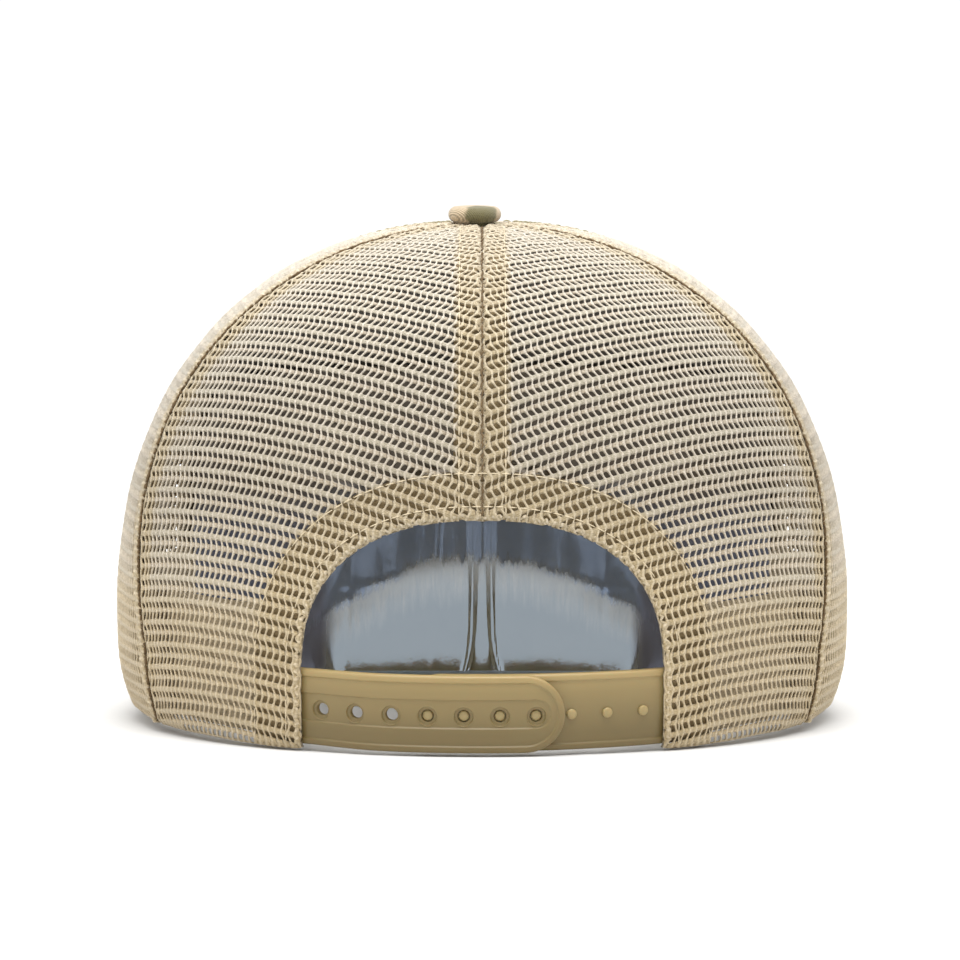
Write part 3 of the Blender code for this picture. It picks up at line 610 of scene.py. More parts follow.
class Look:
    """A node material under construction."""

    def __init__(self, name):
        self.material = bpy.data.materials.new(name)
        self.material.use_nodes = True
        self.tree = self.material.node_tree
        self.shader = self.tree.nodes["Principled BSDF"]

    def node(self, kind, **given):
        """Node with its settings and inputs given by name, or inputs by place as i0, i1 and so on."""
        made = self.tree.nodes.new(kind)
        for key, value in given.items():
            if key in ("operation", "data_type", "attribute_name", "uv_map"):
                setattr(made, key, value)
            else:
                self.join(value, made.inputs[int(key[1:]) if key[1:].isdigit() else key])
        return made

    def join(self, value, socket):
        """Set a socket to a value or link it to a node or a node's output."""
        if isinstance(value, bpy.types.NodeSocket):
            self.tree.links.new(value, socket)
        elif isinstance(value, bpy.types.Node):
            self.tree.links.new(value.outputs[0], socket)
        else:
            socket.default_value = value

    def math(self, operation, a, b=0.0):
        """Result of a sum or function of one or two values."""
        return self.node("ShaderNodeMath", operation=operation, i0=a, i1=b).outputs[0]

    def plus(self, a, b):
        return self.math("ADD", a, b)

    def minus(self, a, b):
        return self.math("SUBTRACT", a, b)

    def times(self, a, b):
        return self.math("MULTIPLY", a, b)

    def mix(self, share, a, b):
        """Colour between a and b, each a node's output or its red, green and blue."""
        made = self.node("ShaderNodeMix", data_type="RGBA")
        self.join(share, made.inputs[0])
        for value, socket in ((a, made.inputs[6]), (b, made.inputs[7])):
            self.join((*value, 1) if isinstance(value, tuple) else value, socket)
        return made.outputs[2]

    def noise(self, vector, scale, detail=3.0, roughness=0.5):
        """Soft random values around 0.5, at so many per metre."""
        return self.node("ShaderNodeTexNoise", Vector=vector, Scale=scale, Detail=detail,
                         Roughness=roughness).outputs[0]

    def ramp(self, value, stops):
        """Greys at places from 0 to 1."""
        made = self.node("ShaderNodeValToRGB", Fac=value)
        elements = made.color_ramp.elements
        elements.remove(elements[1])
        elements[0].position = stops[0][0]
        elements[0].color = (stops[0][1],) * 3 + (1,)
        for place, grey in stops[1:]:
            elements.new(place).color = (grey, grey, grey, 1)
        return made.outputs[0]

    def place(self):
        """Place on the object, in metres."""
        return self.node("ShaderNodeTexCoord").outputs["Object"]

    def apart(self, vector):
        """The three parts of a vector."""
        return self.node("ShaderNodeSeparateXYZ", Vector=vector).outputs

    def cloth(self):
        """The two cloth coordinates."""
        return self.apart(self.node("ShaderNodeUVMap", uv_map="cloth"))[:2]

    def bump(self, height, strength, distance):
        """Relief of the surface."""
        self.join(self.node("ShaderNodeBump", Strength=strength, Distance=distance, Height=height),
                  self.shader.inputs["Normal"])

    def finish(self, colour, roughness, **others):
        """The finished material; others are further inputs of its shader."""
        self.join(colour, self.shader.inputs["Base Color"])
        self.join(roughness, self.shader.inputs["Roughness"])
        for key, value in others.items():
            self.join(value, self.shader.inputs[key.replace("_", " ")])
        return self.material


def rim_tint_and_painted_light_by_height(look, colour, place):
    """Colour of the knit: warmer towards the rim, darker at mid height with painted shade and lighter on top
    with painted light.
    """
    height = look.apart(place)[2]
    # Warmer colour towards the rim.
    warmer_rim = look.ramp(look.times(height, 10.0), [(0.15, 0.34), (0.50, 0.16), (0.95, 0.0)])
    colour = look.mix(warmer_rim, colour, (0.60, 0.44, 0.22))
    rise = look.times(height, 8.0)
    # Painted shade: darker at mid height, where the sides face the light less.
    painted_mid_shade = look.ramp(rise, [(0.34, 0.0), (0.52, 0.24), (0.74, 0.18), (0.90, 0.0)])
    colour = look.mix(painted_mid_shade, colour, (0.14, 0.11, 0.07))
    # Painted light: lighter on top, under the light from above.
    painted_top_light = look.ramp(rise, [(0.84, 0.0), (1.0, 0.20)])
    return look.mix(painted_top_light, colour, (0.95, 0.85, 0.69))


def knit_material():
    """Polyester mesh: strands with a painted highlight, flat webs, and ribbed webs with slits painted dark
    with shade; yellower over tape, partly as painted light.
    """
    look = Look("knit_yarn")
    across, along = look.cloth()
    share = look.math("FRACT", across)
    height = look.math("FRACT", along)
    from_strand = look.math("MINIMUM", share, look.minus(1.0, share))
    ribbed = look.ramp(height, [(0.40, 0.0), (0.44, 1.0), (0.61, 1.0), (0.66, 0.0)])
    flat = look.ramp(height, [(0.10, 1.0), (0.15, 0.0), (0.83, 0.0), (0.87, 1.0)])
    strand = look.ramp(from_strand, [(0.08, 1.0), (0.22, 0.0)])
    gap = look.ramp(share, [(0.22, 0.0), (0.27, 1.0), (0.33, 1.0), (0.38, 0.0)])
    slit = look.times(gap, ribbed)
    tone = look.node("ShaderNodeAttribute", attribute_name="tone").outputs["Fac"]
    place = look.place()
    cloudy = look.noise(place, 45.0, 3.0)
    fine = look.ramp(look.noise(place, 1500.0, 2.0), [(0.36, 0.0), (0.64, 1.0)])
    loop_place = look.node("ShaderNodeCombineXYZ", X=look.times(across, 2.0), Y=look.times(along, 13.0))
    loops = look.ramp(look.noise(loop_place, 1.6, 2.0, 0.6), [(0.38, 0.0), (0.60, 1.0)])
    web = look.mix(ribbed, (0.42, 0.375, 0.27), (0.395, 0.305, 0.205))
    web = look.mix(look.times(loops, 0.75), web, (0.67, 0.60, 0.475))
    # Painted highlight: the strands are lighter along their crests, on plain knit and over tape.
    plain = look.mix(look.times(strand, 0.9), web, (0.81, 0.73, 0.61))
    # Over tape and sweatband the knit is tinted tan, partly by the tape's own colour showing and partly as
    # painted light from the tape behind; tone sets how much.
    backing_and_painted_light = look.mix(loops, (0.36, 0.265, 0.12), (0.60, 0.48, 0.29))
    backing_and_painted_light = look.mix(look.times(strand, 0.8), backing_and_painted_light, (0.80, 0.68, 0.47))
    shade = look.times(tone, look.plus(0.6, look.times(cloudy, 0.6)))
    colour = look.mix(shade, plain, backing_and_painted_light)
    colour = look.mix(look.times(fine, 0.32), colour, (0.22, 0.17, 0.10))
    # Painted shade: the slits in the ribbed webs are painted dark, as shade falls into them.
    colour = look.mix(look.times(slit, 0.75), colour, (0.10, 0.07, 0.04))
    filament = look.math("SINE", look.times(across, 60.0))
    weft = look.times(look.math("SINE", look.times(along, 130.0)), flat)
    yarn = look.plus(look.times(filament, 0.4), look.times(weft, 0.4))
    yarn = look.minus(look.plus(yarn, look.times(loops, 1.5)), look.times(slit, 2.5))
    look.bump(look.minus(yarn, look.times(fine, 1.2)), 0.7, 0.15 * MM)
    return look.finish(rim_tint_and_painted_light_by_height(look, colour, place), 0.5, Sheen_Weight=0.2, Sheen_Roughness=0.4)


def twill_height(look, u, v, ribs):
    """Diagonal ribs of a twill; the cloth coordinates are in millimetres."""
    slant = look.plus(u, look.times(v, 0.7))
    rib = look.math("SINE", look.times(slant, ribs))
    cross = look.math("SINE", look.times(v, 9.0))
    return look.plus(rib, look.times(cross, 0.35))


def twill_material(name, dark, light):
    """Plain woven cotton twill or tape."""
    look = Look(name)
    place = look.place()
    x, y, z = look.apart(place)
    u = look.times(look.plus(x, y), 1000.0)
    v = look.times(z, 1000.0)
    ribs = twill_height(look, u, v, 8.0)
    fine = look.noise(place, 900.0)
    cloudy = look.noise(place, 35.0)
    mixed = look.plus(look.times(fine, 0.6), look.times(cloudy, 0.4))
    colour = look.mix(mixed, dark, light)
    look.bump(look.plus(ribs, fine), 0.4, 0.1 * MM)
    return look.finish(colour, 0.85, Sheen_Weight=0.2)


def scattered_patches(look, place):
    """Soft patches of moss, olive and brown, spread at random on beige."""
    colour = (0.60, 0.49, 0.36)
    layers = ((24.0, (0.0, 0.0, 0.0), 0.50, 0.535, (0.30, 0.27, 0.14)),
              (30.0, (3.0, 1.0, 7.0), 0.54, 0.56, (0.15, 0.145, 0.045)),
              (52.0, (9.0, 5.0, 2.0), 0.60, 0.615, (0.19, 0.12, 0.06)))
    for scale, shift, low, high, ink in layers:
        moved = look.node("ShaderNodeVectorMath", operation="ADD", i0=place, i1=shift)
        printed = look.ramp(look.noise(moved, scale, 1.6, 0.4), [(low, 0.0), (high, 1.0)])
        colour = look.mix(printed, colour, ink)
    return colour


def single_patch(look, place, middle):
    """One ragged olive patch on tan."""
    away = look.node("ShaderNodeVectorMath", operation="DISTANCE", i0=place, i1=middle).outputs["Value"]
    ragged_away = look.plus(away, look.times(look.noise(place, 260.0), 4 * MM))
    printed = look.ramp(look.times(ragged_away, 100.0), [(0.62, 1.0), (0.70, 0.0)])
    return look.mix(printed, (0.56, 0.43, 0.27), (0.12, 0.105, 0.022))


def camo_material(name, patch=None):
    """Printed cotton twill with diagonal ribs.

    patch is the middle of a single olive patch, in metres; without it patches are spread at random.
    """
    look = Look(name)
    u, v = look.cloth()
    place = look.place()
    colour = single_patch(look, place, patch) if patch else scattered_patches(look, place)
    rib_shade = 0.27 if patch else 0.17
    ribs = twill_height(look, u, v, 10.5)
    fine = look.noise(place, 1500.0)
    furrow = look.times(look.minus(1.0, ribs), rib_shade)
    colour = look.mix(look.times(fine, 0.12), colour, (0.78, 0.73, 0.62))
    colour = look.mix(furrow, colour, (0.10, 0.08, 0.05))
    look.bump(look.plus(ribs, fine), 0.5, 0.12 * MM)
    return look.finish(colour, 0.86, Sheen_Weight=0.25, Sheen_Roughness=0.5)


def thread_material(name, colour):
    """Spun sewing thread."""
    look = Look(name)
    fine = look.noise(look.place(), 2500.0)
    look.bump(fine, 0.4, 0.05 * MM)
    dull = tuple(channel * 0.7 for channel in colour)
    return look.finish(look.mix(fine, dull, colour), 0.5, Sheen_Weight=0.2)


def strap_material(name, dark, light):
    """Moulded plastic with a satin skin and faint flow marks, with painted light that makes it lighter
    towards the top.
    """
    look = Look(name)
    place = look.place()
    stretched = look.node("ShaderNodeVectorMath", operation="MULTIPLY", i0=place, i1=(0.25, 1.0, 1.0))
    flow = look.noise(stretched, 160.0, 3.0)
    cloudy = look.noise(place, 28.0, 2.0)
    grain = look.noise(place, 3000.0, 1.0)
    mottle = look.plus(look.times(flow, 0.35), look.times(cloudy, 0.65))
    height = look.apart(place)[2]
    # Painted light: lighter towards the top and darker towards the bottom, as under a light from above.
    upper = look.ramp(look.times(height, 25.0), [(0.14, 0.0), (0.40, 0.38), (0.56, 1.0)])
    mixed = look.plus(look.times(mottle, 0.2), look.times(upper, 0.8))
    colour = look.mix(mixed, dark, light)
    rough = look.plus(0.33, look.times(flow, 0.2))
    look.bump(look.plus(grain, look.times(flow, 2.0)), 0.12, 0.05 * MM)
    return look.finish(colour, rough, Subsurface_Weight=0.12, Subsurface_Scale=0.004)


def film_material():
    """Glossy blue grey film of the former, streaked along its height, with a painted light patch over its
    lower part and painted whitish glare along the patch's ragged top, and darker at its sides and towards its
    top.
    """
    look = Look("clear_film")
    place = look.place()
    tall = look.node("ShaderNodeVectorMath", operation="MULTIPLY", i0=place, i1=(1.0, 1.0, 0.06))
    streak = look.noise(tall, 700.0, 4.0, 0.7)
    broad = look.noise(tall, 110.0, 3.0)
    cloudy = look.noise(place, 70.0, 5.0, 0.65)
    rise = look.node("ShaderNodeAttribute", attribute_name="rise").outputs["Fac"]
    ragged = look.plus(rise, look.times(look.minus(streak, 0.5), 0.26))
    ragged = look.plus(ragged, look.times(look.minus(broad, 0.5), 0.22))
    # Painted light: the lower part of the film is painted bright, a patch of light and its reflection through
    # the rear opening.
    lower = look.ramp(ragged, [(0.46, 1.0), (0.56, 0.0)])
    rougher_painted_glare_band = look.ramp(ragged, [(0.18, 0.0), (0.40, 0.85), (0.47, 1.0), (0.55, 0.0)])
    x, _, z = look.apart(place)
    upper = look.ramp(look.times(z, 10.0), [(0.44, 0.0), (0.58, 1.0)])
    side = look.plus(look.math("ABSOLUTE", x), look.times(broad, 3 * MM))
    side = look.ramp(look.times(side, 10.0), [(0.435, 0.0), (0.475, 1.0)])
    dim = look.mix(cloudy, (0.37, 0.48, 0.69), (0.51, 0.63, 0.84))
    bright = look.mix(cloudy, (0.56, 0.65, 0.73), (0.63, 0.72, 0.79))
    colour = look.mix(lower, dim, bright)
    # Painted reflection: whitish glare streaked along the ragged top of that patch, where the film is also
    # rougher.
    colour = look.mix(look.times(rougher_painted_glare_band, look.times(streak, 1.1)), colour, (0.93, 0.97, 1.0))
    colour = look.mix(side, colour, (0.26, 0.28, 0.36))
    colour = look.mix(upper, colour, (0.22, 0.185, 0.145))
    rough = look.plus(0.05, look.times(rougher_painted_glare_band, 0.18))
    dents = look.plus(streak, look.times(cloudy, 1.5))
    look.bump(look.plus(dents, look.times(broad, 1.5)), 0.12, 0.1 * MM)
    mirror = look.plus(0.52, look.times(lower, 0.43))
    mirror = look.minus(mirror, look.times(side, 0.35))
    return look.finish(colour, rough, Metallic=mirror)


def plain_material(name, dark, light, roughness, scale=300.0, bump=0.3, metallic=0.0):
    """An even grain between two colours."""
    look = Look(name)
    grain = look.noise(look.place(), scale)
    look.bump(grain, bump, 0.1 * MM)
    return look.finish(look.mix(grain, dark, light), roughness, Metallic=metallic)


KNIT = knit_material()
CAMO = camo_material("camo_twill")
BUTTON_CAMO = camo_material("camo_button_twill", STANCE @ Vector((BUTTON_X + 2.2 * MM, -5.5 * MM, 133 * MM)))
TAPE = twill_material("tan_tape", (0.22, 0.155, 0.07), (0.38, 0.28, 0.14))
LINING = twill_material("lining_twill", (0.42, 0.33, 0.20), (0.64, 0.53, 0.36))
BUCKRAM = plain_material("buckram", (0.16, 0.145, 0.125), (0.26, 0.24, 0.21), 0.9, 1800.0, 0.8)
FOAM = plain_material("foam", (0.55, 0.53, 0.48), (0.74, 0.72, 0.67), 0.95, 1200.0, 0.9)
BOARD = plain_material("board_plastic", (0.34, 0.28, 0.19), (0.42, 0.35, 0.24), 0.5)
STEEL = plain_material("steel", (0.42, 0.42, 0.42), (0.60, 0.60, 0.60), 0.35, 200.0, 0.1, 1.0)
# Painted shade: the dark colour of the tubes laid in the seams' gaps.
PAINTED_SEAM_SHADE = plain_material("seam_gap_shade", (0.07, 0.045, 0.02), (0.17, 0.105, 0.045), 0.9)
TAN_THREAD = thread_material("tan_thread", (0.72, 0.60, 0.40))
OLIVE_THREAD = thread_material("olive_thread", (0.36, 0.32, 0.18))
STRAP = strap_material("strap_plastic", (0.14, 0.10, 0.033), (0.40, 0.295, 0.125))
PEG = strap_material("peg_plastic", (0.28, 0.21, 0.085), (0.44, 0.34, 0.155))
FILM = film_material()


# ---------------------------------------------------------------- stitches

STITCH_PITCH = 3.0 * MM
STITCH_LENGTH = 2.5 * MM
# Distances from a front seam of the two rows beside it.
FRONT_STITCHES = (2.4 * MM, 7.4 * MM)
# Distances from the rear opening's edge of the two rows in its hem, and from the centre seam.
HEM_STITCHES = (3.4 * MM, 11.6 * MM)
CENTER_STITCHES = (-5.9 * MM, 5.9 * MM)


def resample(points, normals, step):
    """Points and directions at even steps along a line."""
    lengths = np.concatenate([[0], np.cumsum(np.linalg.norm(np.diff(points, axis=0), axis=1))])
    count = max(2, int(round(lengths[-1] / step)) + 1)
    places = np.linspace(0, lengths[-1], count)
    spots = np.stack([np.interp(places, lengths, points[:, i]) for i in range(3)], -1)
    ups = np.stack([np.interp(places, lengths, normals[:, i]) for i in range(3)], -1)
    return spots, ups / np.linalg.norm(ups, axis=1, keepdims=True)


def stitch_mesh(points, normals, radius):
    """Points and quads of a row of stitches: short threads that bow out of the cloth."""
    spots, ups = resample(points, normals, STITCH_PITCH)
    sides, rings = 6, 5
    along = np.linspace(-0.5, 0.5, rings)
    bow = radius * (1.1 - 5.0 * along ** 2)
    girth = radius * np.array([0.55, 0.95, 1.0, 0.95, 0.55])
    turn = np.arange(sides) * 2 * math.pi / sides
    starts, ends = spots[:-1], spots[1:]
    middle = (starts + ends) / 2
    forward = ends - starts
    forward /= np.linalg.norm(forward, axis=1, keepdims=True)
    up = ups[:-1] + ups[1:]
    up -= forward * (up * forward).sum(axis=1, keepdims=True)
    up /= np.linalg.norm(up, axis=1, keepdims=True)
    across = np.cross(forward, up)
    centre = middle[:, None] + forward[:, None] * (along * STITCH_LENGTH)[None, :, None]
    centre = centre + up[:, None] * bow[None, :, None]
    circle = across[:, None, None] * np.cos(turn)[None, None, :, None]
    circle = circle + up[:, None, None] * np.sin(turn)[None, None, :, None]
    shell = centre[:, :, None] + circle * girth[None, :, None, None]
    index = np.arange(len(middle) * rings * sides).reshape(-1, rings, sides)
    ends = (index[:, 0], index[:, -1, ::-1])
    lids = [end[:, corners] for end in ends for corners in ([0, 1, 2, 3], [0, 3, 4, 5])]
    return shell.reshape(-1, 3), np.concatenate([ring_faces(index)] + lids)


def add_stitches(name, lines, material, radius=0.24 * MM):
    """One piece of stitching along several lines of (points, normals)."""
    points, faces = joined([stitch_mesh(*line, radius) for line in lines])
    add_piece(name, points, faces, material)


def meridian_line(azimuth, offset, low, high, depth):
    """Line up the crown at a distance round it from a meridian."""
    climb = np.linspace(low, high, 90)
    spot = surface(azimuth, climb)
    turned = azimuth + offset / np.hypot(spot[:, 0], spot[:, 1])
    return crown(turned, climb, depth), normal(turned, climb)


def opening_line(spread, depth):
    """Line round the rear opening at a distance outside its edge."""
    angle = np.linspace(0, math.pi, 160)
    power = 2 / OPENING_SQUARENESS
    across = np.sign(np.cos(angle)) * np.abs(np.cos(angle)) ** power
    up = np.sin(angle) ** power
    rise = OPENING_TOP - OPENING_SPRING
    slope_x = np.sign(across) * np.abs(across) ** (OPENING_SQUARENESS - 1) / OPENING_HALF_WIDTH
    slope_z = up ** (OPENING_SQUARENESS - 1) / rise
    size = np.hypot(slope_x, slope_z)
    x = OPENING_HALF_WIDTH * across + spread * slope_x / size
    height = OPENING_SPRING + rise * up + spread * slope_z / size
    leg = np.linspace(1.5 * MM, OPENING_SPRING - 1 * MM, 12)
    edge = np.full(leg.shape, OPENING_HALF_WIDTH + spread)
    x = np.concatenate([edge, x, -edge])
    height = np.concatenate([leg, height, leg[::-1]])
    azimuth = rear_azimuth(x, height)
    climb = climb_at_height(azimuth, height)
    return crown(azimuth, climb, depth), normal(azimuth, climb)


# ---------------------------------------------------------------- twill panels and visor

def add_front_panel(side):
    """Camo twill panel between the front seams, rolled in at its edges."""
    start, end = FRONT_SEAM, FRONT
    share, level = spans(60, 90)
    azimuth = start + (end - start) * share
    bottom = climb_at_height(azimuth, rim_height(azimuth))
    top = climb_at_radius(azimuth, APEX_RADIUS)
    climb = bottom + (top - bottom) * level
    azimuth = np.broadcast_to(azimuth, climb.shape)
    spot = surface(azimuth, climb)
    radius = np.hypot(spot[..., 0], spot[..., 1])
    seam = np.minimum(azimuth - start, end - azimuth) * radius
    arc = arc_at_climb(azimuth, climb)
    groove = 0.8 * MM * hump(seam, 0.8 * MM)
    sewn = 0.14 * MM * sum(hump(seam - row, 0.8 * MM) for row in FRONT_STITCHES)
    points = crown(azimuth, climb, groove + sewn)
    coords = np.stack([(azimuth - FRONT) * radius / MM, arc / MM], -1)
    coords[..., 0] *= side
    points, faces = handed(side, points, grid_faces(*climb.shape))
    name = "left" if side < 0 else "right"
    piece = add_piece(f"camo_front_{name}", points, faces, CAMO, coords=coords)
    add_thickness(piece, 1.1 * MM)
    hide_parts(f"front_panel_{name}")


def visor_outline(across, spread):
    """Outer edge of the visor, widened by spread; across runs from -1 to 1."""
    power = 2 / VISOR_SQUARENESS
    angle = across * math.pi / 2
    x = (VISOR_HALF_WIDTH + spread) * np.sign(across) * np.abs(np.sin(angle)) ** power
    y = VISOR_CORNER_Y + (VISOR_REACH + spread) * np.abs(np.cos(angle)) ** power
    return x, y


def visor_points(across, along, lift, spread=0.0):
    """Points of the visor; along runs from 0 at the crown to 1 at the outer edge."""
    azimuth = FRONT - across * VISOR_SPREAD
    climb = climb_at_height(azimuth, rim_height(azimuth) + VISOR_TOP)
    inner = crown(azimuth, climb, -VISOR_CLEARANCE)
    outer_x, outer_y = visor_outline(across, spread)
    x = inner[..., 0] + (outer_x - inner[..., 0]) * along
    y = inner[..., 1] + (outer_y - inner[..., 1]) * along
    height = visor_height(x, y)
    near = np.clip(along / 0.05, 0, 1)
    height = rim_height(azimuth) * (1 - near) + height * near
    return np.stack([x, y, height + lift], -1)


def add_visor_top():
    """Camo cover over the visor's board, with an edge that wraps it."""
    across, level = spans(140, 46, across=(-1, 1))
    edge_spread = VISOR_OVERHANG * 0.7
    top = visor_points(across, level, VISOR_TOP, edge_spread)
    turn = np.linspace(0, math.pi, 9)[1:, None]
    out = visor_points(across, np.ones((1, 1)), 0.0, edge_spread)
    away = visor_points(across, np.ones((1, 1)), 0.0, VISOR_OVERHANG) - out
    bulge = 0.45
    wrap = out + away * (np.sin(turn) * bulge)[..., None]
    wrap[..., 2] += VISOR_TOP * np.cos(turn)
    points = np.concatenate([top, wrap], axis=0)
    coords = np.stack([points[..., 0] / MM, (points[..., 1] - 0.4 * points[..., 2]) / MM], -1)
    piece = add_piece("camo_visor_top", points, grid_faces(*points.shape[:2]), CAMO,
                      coords=coords)
    add_thickness(piece, 0.5 * MM)
    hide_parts("visor_top_cover")


def add_visor_under():
    """Camo cover under the visor's board."""
    across, level = spans(140, 46, across=(1, -1))
    points = visor_points(across, level, -VISOR_TOP + 0.75 * MM)
    piece = add_piece("camo_visor_under", points, grid_faces(*points.shape[:2]), CAMO,
                      coords=points[..., :2] / MM)
    add_thickness(piece, 0.6 * MM)
    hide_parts("visor_under_cover")


def add_visor_stitches():
    """Seven rows of stitches that follow the visor's outer edge."""
    across = np.linspace(-0.985, 0.985, 240)
    lines = []
    for row in range(7):
        along = 1 - (0.03 + 0.105 * row)
        line = visor_points(across, np.full(across.shape, along), VISOR_TOP + 0.02 * MM)
        lines.append((line, np.tile([0.0, 0.1, 1.0], (len(line), 1))))
    add_stitches("visor_stitches", lines, OLIVE_THREAD)


def button_profile():
    """Radii and heights of the button's cover, from its middle over its edge and down inside."""
    corner = 2.0 * MM
    drop = 0.28 * MM
    shoulder = BUTTON_RADIUS - corner
    top = BUTTON_BASE + BUTTON_HEIGHT
    out = np.linspace(0, 1, 9)[1:]
    bend = np.linspace(0, math.pi * 0.86, 12)[1:]
    radii = np.concatenate([shoulder * out, shoulder + corner * np.sin(bend), [shoulder, shoulder]])
    heights = np.concatenate([top - drop * out ** 2, top - drop - corner * 1.06 * (1 - np.cos(bend)),
                              [BUTTON_BASE, BUTTON_BASE - 2.2 * MM]])
    return radii, heights


def add_button():
    """Covered button: a flattened dome of twill, pulled in under its rim."""
    turns = 72
    angle = np.linspace(0, 2 * math.pi, turns + 1)[:-1]
    radii, heights = button_profile()
    top = BUTTON_BASE + BUTTON_HEIGHT
    gather = 1 + 0.004 * np.sin(angle * 24)[None, :] * (radii / BUTTON_RADIUS)[:, None] ** 4
    x = BUTTON_X + radii[:, None] * gather * np.cos(angle)[None, :]
    y = radii[:, None] * gather * np.sin(angle)[None, :]
    ring = np.stack([x, y, np.broadcast_to(heights[:, None], x.shape)], -1).reshape(-1, 3)
    points = np.concatenate([[[BUTTON_X, 0, top]], ring])
    index = 1 + np.arange(len(radii) * turns).reshape(len(radii), turns)
    first = index[0].tolist()
    faces = ring_faces(index).tolist() + [[0, a, b] for a, b in zip(first, first[1:] + first[:1])]
    coords = np.stack([points[:, 0] / MM, points[:, 1] / MM + (points[:, 2] - top) / MM * 0.9], -1)
    piece = add_piece("camo_button", points, faces, BUTTON_CAMO, coords=coords)
    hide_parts("button_cover")


# ---------------------------------------------------------------- sweatband and insert

def add_sweatband():
    """Twill sweatband with a turned upper edge."""
    azimuth, rise = spans(260, 26, across=(SWEATBAND_START, 2 * math.pi - SWEATBAND_START),
                          up=(1.2 * MM, SWEATBAND_TOP - 0.2 * MM))
    height = rim_height(azimuth) + rise
    climb = climb_at_height(azimuth, height)
    ripple = 0.16 * MM * np.sin(azimuth * 61) * np.sin(azimuth * 17 + rise * 120)
    bead = 0.35 * MM * hump(rise - SWEATBAND_TOP + 1.6 * MM, 1.2 * MM)
    points = crown(np.broadcast_to(azimuth, climb.shape), climb, SWEATBAND_DEPTH + ripple - bead)
    coords = np.stack(np.broadcast_arrays(azimuth * 95, rise / MM), -1)
    piece = add_piece("twill_sweatband", points, grid_faces(*climb.shape), LINING,
                      coords=coords)
    add_thickness(piece, 0.8 * MM)
    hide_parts("sweatband")


def film_knee(x):
    """Height at which the film starts to lean more, lower towards its sides."""
    return FILM_KNEE - FILM_KNEE_DROP * (x / FILM_HALF_WIDTH) ** 2


def film_front(x, height):
    """How far forward the film stands at its flat middle, where it leans away from the head."""
    lift = height - film_knee(x)
    blend = 1.2 * MM
    past = blend * np.logaddexp(0, lift / blend)
    lean = FILM_LEAN * (height - FILM_KNEE) + (FILM_UPPER_LEAN - FILM_LEAN) * past
    return FILM_REACH + lean - x * x / (2 * FILM_RADIUS)


def add_insert():
    """Film former, flatter than the crown in its middle, with a moulded rib and soft creases."""
    offset, level = spans(320, 90, across=(-INSERT_SPREAD, INSERT_SPREAD))
    azimuth, height = np.broadcast_arrays(FRONT + offset, INSERT_FOOT + (INSERT_TOP - INSERT_FOOT) * level)
    points = crown(azimuth, climb_at_height(azimuth, height), INSERT_DEPTH)
    x = points[..., 0]
    flare = 1 + 0.9 * np.exp(-(height - INSERT_FOOT) / (7 * MM))
    half = 2.6 * MM * flare
    rib = 0.10 * MM * hump(x, 1.6 * MM * flare)
    for sign in (-1, 1):
        rib = rib - 0.26 * MM * hump(x + sign * half, 0.75 * MM)
    crease = np.zeros_like(rib)
    for spot, size in ((-0.037, 0.04), (-0.012, 0.04), (0.036, 0.04)):
        lean = 0.05 * (height - 40 * MM)
        crease += size * MM * hump(x - spot - lean, 0.8 * MM)
    wave = 0.02 * MM * np.sin(x * 190 + 1.2) * np.sin(height * 60) + 0.012 * MM * np.sin(x * 730)
    blend = 0.9 * MM
    wall, film = points[..., 1], film_front(x, height)
    points[..., 1] = -blend * np.logaddexp(-wall / blend, -film / blend) + rib - crease + wave
    back = points + 0.5 * MM * normal(azimuth, climb_at_height(azimuth, height))
    piece = add_shell("film_insert", points, back, FILM)
    rise = np.clip(0.5 + (height - film_knee(x)) / FILM_RISE_SPAN, 0, 1)
    add_values(piece.data, "rise", [rise, rise])
    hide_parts("shape_insert")


# ---------------------------------------------------------------- straps

def smooth_share(value):
    """0 up to 0 and 1 from 1, with a smooth step between."""
    share = np.clip(value, 0, 1)
    return share * share * (3 - 2 * share)


def outer_strap_depth(x):
    """Depth of the outer face of the strap with holes, which is rooted on the left."""
    share = smooth_share((x + OPENING_HALF_WIDTH) / STRAP_BLEND_LENGTH)
    return ROOT_DEPTH + (OUTER_STRAP_DEPTH - ROOT_DEPTH) * share


def inner_strap_depth(x):
    """Depth of the outer face of the strap with pegs, which is rooted on the right."""
    overlap = OUTER_STRAP_DEPTH + STRAP_THICKNESS + STRAP_GAP
    share = smooth_share((OPENING_HALF_WIDTH - x) / STRAP_BLEND_LENGTH)
    return ROOT_DEPTH + (overlap - ROOT_DEPTH) * share


def strap_point(x, rise, depth):
    """Points of a strap's face, which is straight from bottom to top; rise runs from -1 to 1."""
    low = rear_point(x, np.full(np.shape(x), STRAP_BOTTOM), depth)
    high = rear_point(x, np.full(np.shape(x), STRAP_BOTTOM + STRAP_HEIGHT), depth)
    share = ((rise + 1) / 2)[..., None]
    return low * (1 - share) + high * share


def strap_relief(x, y, sign, channel_end):
    """Height of a strap's face over its plain level: raised rim and sunk channel."""
    radius = STRAP_HEIGHT / 2
    beyond = np.maximum(sign * x - (STRAP_TIP - radius), 0)
    inward = radius - np.hypot(beyond, y)
    rim = 0.45 * MM * smooth_share((2.0 * MM - inward) / (0.45 * MM))
    edge = 0.40 * MM * (1 - np.sqrt(np.clip(inward / (0.6 * MM), 0, 1)))
    bow = 0.9 * MM * (1 - (y / radius) ** 2)
    if channel_end is None:
        return rim - edge + bow
    stretch = np.maximum(sign * x - channel_end, 0)
    channel = CHANNEL_HALF - np.hypot(stretch, y - CHANNEL_RISE)
    return rim - edge + bow - 0.35 * MM * smooth_share(channel / (0.4 * MM) + 0.5)


